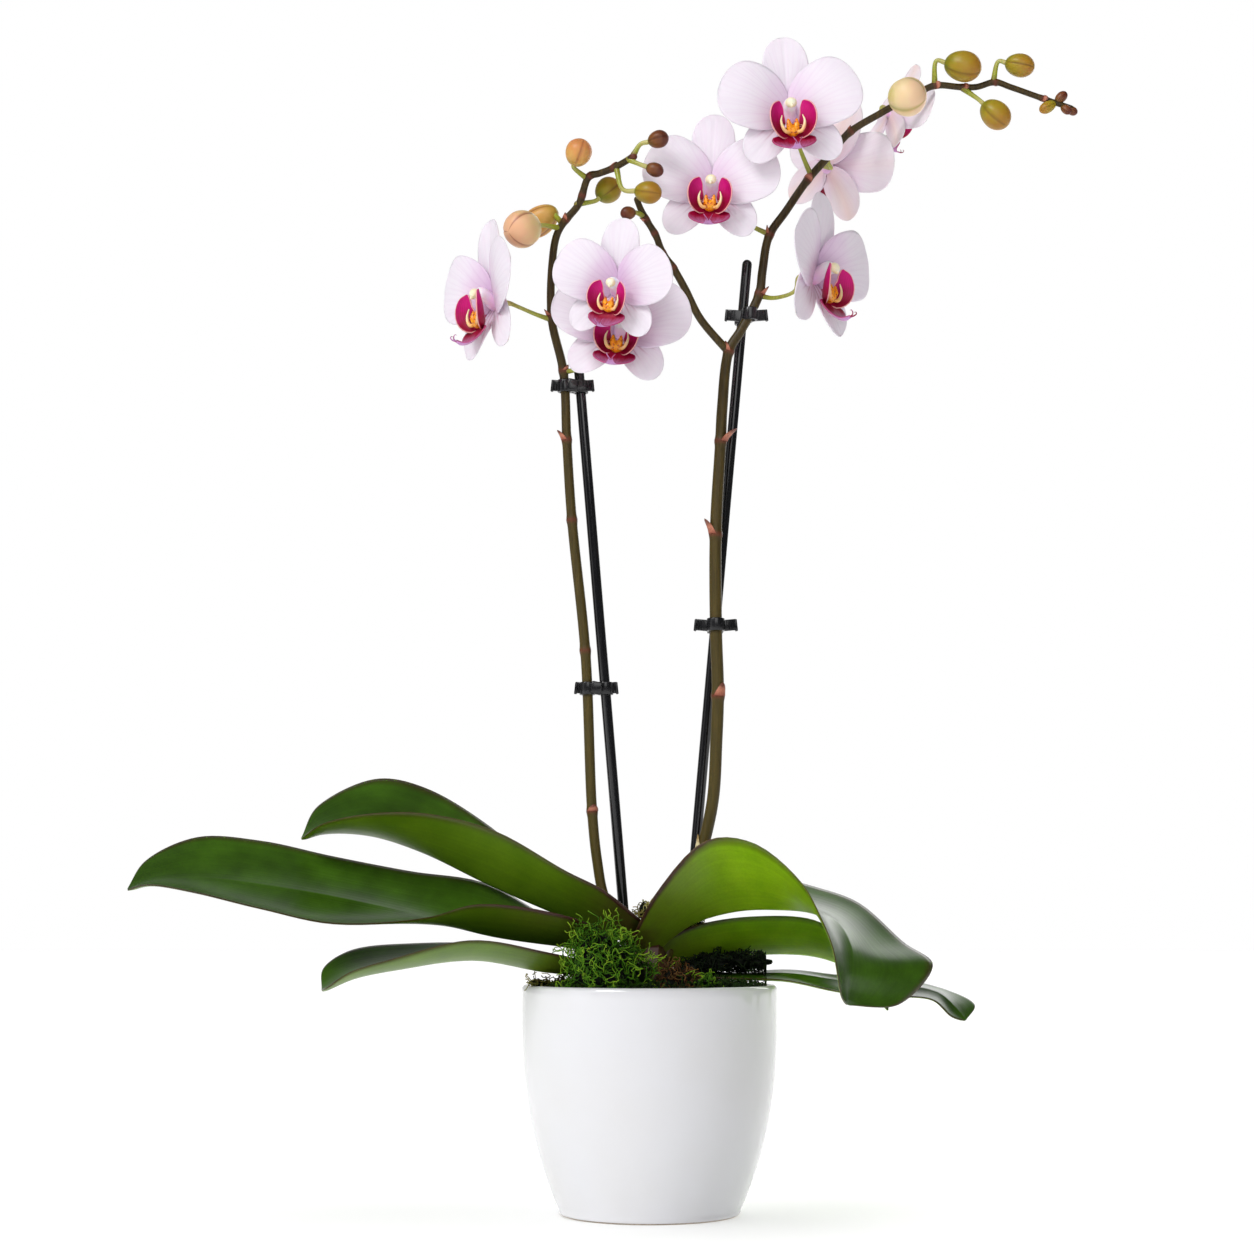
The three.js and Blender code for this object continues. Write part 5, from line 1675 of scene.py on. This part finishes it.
# A lip's parts in the flower's own frame: paths in millimetres, and half widths or radii in
# millimetres at shares of the path.
SIDE_LOBE = [[2.2, -12, 8], [6.4, -14.2, 10.5], [9.4, -10.8, 12.6], [10, -4, 14], [7, 3.6, 14.6]]
SIDE_LOBE_WIDE = [(0, 1.6), (0.25, 4.4), (0.55, 6.2), (0.8, 5.2), (0.93, 3.2), (1, 0.7)]
MID_LOBE = [
    [0, -9, 7], [0, -13, 8.6], [0, -17, 10], [0, -21.5, 12.4], [0, -25.5, 16], [0, -27, 20.6],
    [0, -25.6, 25],
]
MID_LOBE_WIDE = [
    (0, 2.2), (0.24, 2.6), (0.31, 7), (0.38, 11.6), (0.46, 12.8), (0.56, 11.8), (0.66, 8.4),
    (0.78, 4.4), (0.9, 2.2), (1, 1.2),
]
TENDRIL = [[0.4, -25.8, 24.6], [1, -25.2, 26.4], [2, -24, 27.2], [2.6, -22.8, 26.6], [2.3, -22.8, 25.6]]
TUSK = [[2, -14.4, 12.4], [4.4, -14.6, 13.8], [6.2, -12, 14.6], [6.8, -8.4, 14.6], [6, -5, 14]]
COLUMN = [[0, -1, 1], [0, 1.4, 5], [0, 3, 9], [0, 2.6, 12.4]]
TOOTH = [[1.4, -14, 12], [2.2, -10.6, 13.4], [2.4, -7.4, 13]]
STALK_RADII = [(0, 1.7), (0.25, 1.25), (0.7, 1.35), (1, 2.0)]
TUSK_RADII = [(0, 1.2), (0.5, 0.95), (1, 0.3)]
TOOTH_RADII = [2.0, 1.8, 0.8]
TENDRIL_RADII = [(0, 0.5), (0.6, 0.3), (1, 0.12)]
COLUMN_RADII = [(0, 4.4), (0.4, 3.8), (0.8, 3.8), (1, 3.0)]
SIDE_LOBE_THICKNESS = 0.7 * MM
MID_LOBE_THICKNESS = 0.8 * MM
# Eggs: middle, half sizes.
OVARY_END = [[0, 0, -1.5], [2.6, 2.6, 3.2]]
CALLUS = [[0, -13, 11.2], [4, 3.8, 3.2]]
ANTHER_CAP = [[0, 2.8, 13.6], [3.4, 3, 2.8]]
CAP_BEAK = [[0, 0.6, 15.2], [1.1, 1.4, 1.2]]


def half_line(points, way):
    """A list of points in metres, on the right for way 1 or mirrored to the left for -1."""
    return [Vector((x * way, y, z)) * MM for x, y, z in points]


def egg(skin, shape, mark=0):
    middle, half = shape
    skin.ball(Vector(middle) * MM, [c * MM for c in half], mark=mark)


def flower_place(heart, size, turn, tilt, roll):
    """The matrix from a flower's own frame, X right, Y up and Z to the front, to the scene."""
    spin = lambda degrees, axis: Matrix.Rotation(math.radians(degrees), 4, axis)
    stand = spin(turn, "Z") @ spin(tilt, "X") @ spin(90, "X") @ spin(-roll, "Z")
    return Matrix.Translation(above_rim(heart)) @ stand @ Matrix.Scale(size, 4)


class OrchidFlowers(bpy.types.Operator):
    """Adds the eight flowers with their stalks"""

    bl_idname = "orchid.flowers"
    bl_label = "Flowers"

    def execute(self, context):
        settings = context.scene.orchid_flowers
        petal, flush, vein = [tuple(c) for c in (settings.petal, settings.flush, settings.vein)]
        self.finish = {
            "petal": tepal_skin("petal_face", petal, flush, vein, 0.45, 0, 0),
            "rosy": tepal_skin("petal_face_rosy", petal, srgb("#C68CC4"), srgb("#B07CB2"), 0.6, 0, 0),
            "petal_back": tepal_skin("petal_back", petal, flush, vein, 0.5, 0, 0.15),
            "sepal": tepal_skin("sepal_face", petal, flush, vein, 0.4, 0, 0),
            "lateral": tepal_skin("lateral_sepal_face", petal, flush, vein, 0.6, 0.75, 0),
            "sepal_back": tepal_skin("sepal_back", petal, flush, vein, 0.6, 0, 0.4),
            "lip": lip_skin(
                "lip_side_lobe", settings.lip, settings.lip_edge, srgb("#F2B8B0"), srgb("#E88A20")
            ),
            "mid": lip_skin("lip_mid_lobe", settings.lip, srgb("#C890C8"), srgb("#B04070"), srgb("#6A0A10")),
            "callus": callus_flesh(settings.callus),
            "tusk": column_wax("lip_tusk", srgb("#F0A030"), srgb("#F6E2B8")),
            "column": column_wax("column_flesh", srgb("#E7B7DE"), srgb("#F8EEF4")),
            "cap": column_wax("anther_cap", srgb("#F7F0D8"), srgb("#F2DCA0")),
            "stalk": stalk_flesh(context.scene.orchid_stems.stalk),
        }
        random_phase = random.Random(3)
        for name, (heart, size, turn, tilt, roll, stalk) in FLOWERS.items():
            place = flower_place(heart, size, turn, tilt, roll)
            phases = [random_phase.uniform(0, 6) for _ in range(5)]
            self.add_tepals(name, place, settings.width, phases)
            self.add_lip(name, place)
            self.add_column(name, place)
            back = [place @ Vector((0, 0, z * MM)) for z in (HEART_BACK - 6, HEART_BACK + 1)]
            line = smooth_line([above_rim(p) for p in stalk] + back, 24)
            skin = Skin()
            skin.tube(line, girths(STALK_RADII, 24), sides=14)
            self.add_part(name, "stalk", skin, Matrix.Identity(4), ["stalk"], "spike", "sepals")
        return {"FINISHED"}

    def add_part(self, name, part, skin, place, finishes, slot, node):
        """Adds one part of a flower, in place of its petals, its sepals or its lip."""
        piece = f"{name}_{part}"
        materials = [self.finish[key] for key in finishes]
        add_piece(piece, skin.mesh(piece, place), materials, slot, f"{name}_{node}")

    def add_tepals(self, name, place, width, phases):
        petals, sepals = Skin(), Skin()
        for angle, phase in zip((20, 160), phases):
            grid, plan = tepal(PETAL, angle, 1.2, width, phase)
            petals.slab(grid, tepal_thickness(plan), plan)
        grid, plan = tepal(DORSAL, 90, -1.2, width, phases[2])
        sepals.slab(grid, tepal_thickness(plan), plan)
        for angle, phase in zip((-48, -132), phases[3:]):
            grid, plan = tepal(LATERAL, angle, -1.2, width, phase)
            sepals.slab(grid, tepal_thickness(plan), plan, marks=(2, 1))
        egg(sepals, OVARY_END, mark=1)
        face = "rosy" if name in ROSY_FLOWERS else "petal"
        self.add_part(name, "petal_pair", petals, place, [face, "petal_back"], "tepal", "petals")
        finishes = ["sepal", "sepal_back", "lateral"]
        self.add_part(name, "sepal_trio", sepals, place, finishes, "tepal", "sepals")

    def add_lip(self, name, place):
        lip, callus = Skin(), Skin()
        for way in (1, -1):
            line = half_line(SIDE_LOBE, way)
            grid, plan = lobe(line, SIDE_LOBE_WIDE, 0.36, (-0.62 * way, 0.1, 0.78))
            lip.slab(grid, np.full(plan.shape[:2], SIDE_LOBE_THICKNESS), plan, marks=(0, 0))
            tusk = smooth_line(half_line(TUSK, way), 16)
            callus.tube(tusk, girths(TUSK_RADII, 16), sides=10, mark=1)
            callus.tube(half_line(TOOTH, way), [r * MM for r in TOOTH_RADII], sides=12)
            curl = smooth_line(half_line(TENDRIL, way), 20)
            lip.tube(curl, girths(TENDRIL_RADII, 20), sides=8, mark=1)
        line = half_line(MID_LOBE, 1)
        grid, plan = lobe(line, MID_LOBE_WIDE, 0.16, (0, 0.6, 0.8), rows=40, columns=27)
        lip.slab(grid, np.full(plan.shape[:2], MID_LOBE_THICKNESS), plan, marks=(1, 1))
        egg(callus, CALLUS)
        self.add_part(name, "lip_lobes", lip, place, ["lip", "mid"], "lip", "lip")
        self.add_part(name, "callus", callus, place, ["callus", "tusk"], "lip", "lip")

    def add_column(self, name, place):
        column = Skin()
        column.tube(smooth_line(half_line(COLUMN, 1), 14), girths(COLUMN_RADII, 14), sides=20)
        for shape in (ANTHER_CAP, CAP_BEAK):
            egg(column, shape, mark=1)
        self.add_part(name, "column", column, place, ["column", "cap"], "tepal", "petals")


# ---- Buds ----

# Each bud's colours: its foot, body, blush and seams.
BUD_FINISHES = {
    "cream": ["#B8AC44", "#DFC996", "#E0BE9A", "#8C8A18"],
    "peach": ["#B4A238", "#DEC488", "#E0AE88", "#8E4630"],
    "blush": ["#A48828", "#CFA055", "#CC8850", "#8A4A30"],
    "olive": ["#6C7210", "#9C8820", "#A07424", "#6A4A18"],
    "brown": ["#5A4A16", "#7A4A22", "#5E2E1E", "#3A1A12"],
}


GROOVE_WIDTH = 0.085  # of the seams, in radians
GROOVE_DEPTH = 0.075  # as a share of the bud's radius
BUD_STALK_RADII = [(0, 1.9), (0.3, 1.4), (1, 1.5)]


def bud_materials():
    """The finishes of the buds, made once."""
    return {
        name: bpy.data.materials.get(f"bud_{name}") or bud_skin(f"bud_{name}", *map(srgb, stops))
        for name, stops in BUD_FINISHES.items()
    }


def bud_shell(skin, centre, axis, long, wide, seam_turn, mark=0):
    """A plump bud of three sepals that meet in grooves and close in a blunt tip."""
    rows, sides = 26, 48
    turn = Vector((0, 0, 1)).rotation_difference(axis).to_matrix()
    rings, seams = [], []
    for i in range(rows + 1):
        t = min(max(i / rows, 0.004), 0.996)
        fall = math.pi * t
        girth = math.sin(fall) ** 0.92 * (1 - 0.1 * math.cos(fall))
        ring, marks = [], []
        for j in range(sides):
            a = 2 * math.pi * j / sides
            from_seam = (a - math.radians(seam_turn) + math.pi / 3) % (2 * math.pi / 3) - math.pi / 3
            groove = math.exp(-((from_seam / GROOVE_WIDTH) ** 2)) * min(1, 3 * t)
            swell = 1 + 0.035 * math.cos(3 * from_seam * 0.5) - GROOVE_DEPTH * groove
            r = wide * girth * swell
            z = -long * math.cos(fall) * (1 + 0.28 * max(0, t - 0.75))
            ring.append(centre + turn @ Vector((r * math.cos(a), r * math.sin(a), z)))
            marks.append(0.8 * groove)
        rings.append(ring)
        seams.append(marks)
    skin.rows(
        rings, lambda i, j: (j / sides, i / rows), mark, closed=True, capped=True,
        tint=lambda i, j: seams[i][j],
    )


def add_tip_buds():
    """The cluster of small buds that ends the right spike."""
    finishes = bud_materials()
    skin = Skin()
    keys = list(finishes)
    end = SPIKES["right"].at(0.985)
    for centre, long, wide, finish in TIP_BUDS:
        at = above_rim(centre)
        way = (at - end).normalized()
        bud_shell(skin, at, way, long * MM, wide * MM, 40, mark=keys.index(finish))
    name = "right_spike_tip_buds"
    add_piece(name, skin.mesh(name), list(finishes.values()), "bud", "right_spike")


class OrchidBuds(bpy.types.Operator):
    """Adds the twelve buds with their stalks"""

    bl_idname = "orchid.buds"
    bl_label = "Buds"

    def execute(self, context):
        finishes = bud_materials()
        green = context.scene.orchid_stems.stalk
        stalk_finish = bpy.data.materials.get("young_stalk") or stalk_flesh(green)
        for name, (long, wide, finish, seam, way) in BUDS.items():
            points = [above_rim(p) for p in way]
            centre = points[-1]
            axis = (centre - points[-2]).normalized()
            skin = Skin()
            bud_shell(skin, centre, axis, long * MM, wide * MM, seam)
            foot = centre - axis * long * 0.9 * MM
            line = smooth_line(points[:-1] + [foot], 20)
            skin.tube(line, girths(BUD_STALK_RADII, 20), sides=14, mark=1)
            mesh = skin.mesh(name + "_shell")
            add_piece(name + "_shell", mesh, [finishes[finish], stalk_finish], "bud", name)
        return {"FINISHED"}


# ---- Stage ----

CAMERA_PLACE = [-12.8, -1402.4, 169.4]
CAMERA_PITCH = 96.654
LENS = 70
SENSOR = 36
FARTHEST_SEEN = 50  # metres
LIGHTS_AIM = [0, 0, 0.45]  # metres: the softboxes face this point
# Each softbox: name, place in metres, size in metres, the setting that holds its power.
SOFTBOXES = [
    ["side_softbox", [-1.6, -0.7, 0.7], [0.9, 1.3], "fill"],
    ["back_softbox", [0.7, 1.3, 1.1], [1.2, 1.2], "back"],
    ["flower_softbox", [0.1, -1.2, 0.95], [0.8, 0.8], "flower"],
]
# Each far light: name, where it shines from, its width in degrees, the setting of its strength.
FAR_LIGHTS = [
    ["key_light", [-0.52, -0.6, 0.6], 26, "key"],
    ["floor_wash", [-0.08, 0.0, 1.0], 85, "wash"],
    ["floor_glow", [0.0, 0.1, 1.0], 85, "glow"],
]


class OrchidStage(bpy.types.Operator):
    """Adds the floor, the lights and the camera"""

    bl_idname = "orchid.stage"
    bl_label = "Stage"

    def execute(self, context):
        scene, settings = context.scene, context.scene.orchid_stage
        half = settings.floor_size
        mesh = bpy.data.meshes.new("studio_floor")
        corners = [(-half, -half, 0), (half, -half, 0), (half, half, 0), (-half, half, 0)]
        mesh.from_pydata(corners, [], [(0, 1, 2, 3)])
        mesh.materials.append(floor_paper(settings.floor))
        floor = bpy.data.objects.new("studio_floor", mesh)
        scene.collection.objects.link(floor)
        pot = bpy.data.objects["glazed_cover_pot"]
        aim = Vector(LIGHTS_AIM)
        for name, place, size, power in SOFTBOXES:
            light = bpy.data.lights.new(name, "AREA")
            light.shape = "RECTANGLE"
            light.size, light.size_y = size
            light.energy = getattr(settings, power)
            lamp = self.add_lamp(name, light, Vector(place), Vector(place) - aim)
            light_objects(lamp, [floor, pot] if power == "flower" else [floor], "EXCLUDE")
        for name, way, width, strength in FAR_LIGHTS:
            light = bpy.data.lights.new(name, "SUN")
            light.angle = math.radians(width)
            light.energy = getattr(settings, strength)
            lamp = self.add_lamp(name, light, Vector(way) * 2, Vector(way))
            light_objects(lamp, [floor], "EXCLUDE" if strength == "key" else "INCLUDE")
            if strength != "key":
                shade_from(lamp, floor if strength == "glow" else pot)
        scene.world = studio_world(settings)
        scene.view_settings.view_transform = "Standard"
        camera = bpy.data.objects.new("camera", bpy.data.cameras.new("camera"))
        camera.data.lens = LENS
        camera.data.sensor_width = SENSOR
        camera.data.clip_end = FARTHEST_SEEN
        camera.location = [c * MM for c in CAMERA_PLACE]
        camera.rotation_euler = (math.radians(CAMERA_PITCH), 0, 0)
        scene.collection.objects.link(camera)
        scene.camera = camera
        return {"FINISHED"}

    def add_lamp(self, name, light, place, way):
        """A lamp at a place that shines against a direction."""
        lamp = bpy.data.objects.new(name, light)
        lamp.location = place
        lamp.rotation_euler = way.to_track_quat("Z", "Y").to_euler()
        bpy.context.scene.collection.objects.link(lamp)
        return lamp


def light_objects(lamp, pieces, state):
    """A light falls only on these pieces, or on everything else."""
    group = bpy.data.collections.new(lamp.name + "_falls_on")
    for piece in pieces:
        group.objects.link(piece)
    lamp.light_linking.receiver_collection = group
    for entry in group.collection_objects:
        entry.light_linking.link_state = state


def shade_from(lamp, piece):
    """Only this piece throws a shadow in a light."""
    group = bpy.data.collections.new(lamp.name + "_shadow_of")
    group.objects.link(piece)
    lamp.light_linking.blocker_collection = group


def studio_world(settings):
    """A white backdrop to look at, and a dim room with a bright backdrop to be lit by."""
    world = bpy.data.worlds.new("studio_room")
    world.use_nodes = True
    tree = world.node_tree
    tree.nodes.clear()
    way = add(tree, "ShaderNodeSeparateXYZ", {0: add(tree, "ShaderNodeTexCoord").outputs["Generated"]})
    behind = add(
        tree, "ShaderNodeMapRange",
        {
            "Value": way.outputs[1], "From Min": 0.35, "From Max": 0.85,
            "To Min": settings.sky, "To Max": settings.backdrop,
        },
    )
    seen = add(tree, "ShaderNodeLightPath").outputs["Is Camera Ray"]
    strength = add(tree, "ShaderNodeMix", {0: seen, 2: behind, 3: 1.0}, data_type="FLOAT")
    glow = add(tree, "ShaderNodeBackground", {"Color": srgb("#FFFFFF"), "Strength": strength})
    add(tree, "ShaderNodeOutputWorld", {"Surface": glow})
    return world


# ---- Sidebar and registration ----

SETTINGS = {
    "orchid_pot": OrchidPotSettings,
    "orchid_stems": OrchidStemSettings,
    "orchid_leaves": OrchidLeafSettings,
    "orchid_flowers": OrchidFlowerSettings,
    "orchid_moss": OrchidMossSettings,
    "orchid_stage": OrchidStageSettings,
}
STEPS = [
    (OrchidPot, "orchid_pot"),
    (OrchidStakes, "orchid_stems"),
    (OrchidClips, None),
    (OrchidSpikes, None),
    (OrchidLeaves, "orchid_leaves"),
    (OrchidMoss, "orchid_moss"),
    (OrchidFlowers, "orchid_flowers"),
    (OrchidBuds, None),
    (OrchidStage, "orchid_stage"),
]


class OrchidPanel(bpy.types.Panel):
    """Lists the steps that build the orchid, with their settings"""

    bl_idname = "VIEW3D_PT_orchid"
    bl_label = "Potted Orchid"
    bl_space_type = "VIEW_3D"
    bl_region_type = "UI"
    bl_category = "Orchid"

    def draw(self, context):
        for operator, group in STEPS:
            box = self.layout.box()
            box.operator(operator.bl_idname)
            if group:
                for name in SETTINGS[group].__annotations__:
                    box.prop(getattr(context.scene, group), name)


def register():
    for group in SETTINGS.values():
        bpy.utils.register_class(group)
    for operator, _ in STEPS:
        bpy.utils.register_class(operator)
    bpy.utils.register_class(OrchidPanel)
    for name, group in SETTINGS.items():
        setattr(bpy.types.Scene, name, PointerProperty(type=group))


def unregister():
    for name in SETTINGS:
        delattr(bpy.types.Scene, name)
    bpy.utils.unregister_class(OrchidPanel)
    for operator, _ in reversed(STEPS):
        bpy.utils.unregister_class(operator)
    for group in SETTINGS.values():
        bpy.utils.unregister_class(group)


def main():
    register()
    for operator, _ in STEPS:
        group, name = operator.bl_idname.split(".")
        getattr(getattr(bpy.ops, group), name)()
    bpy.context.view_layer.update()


if __name__ == "__main__":
    main()
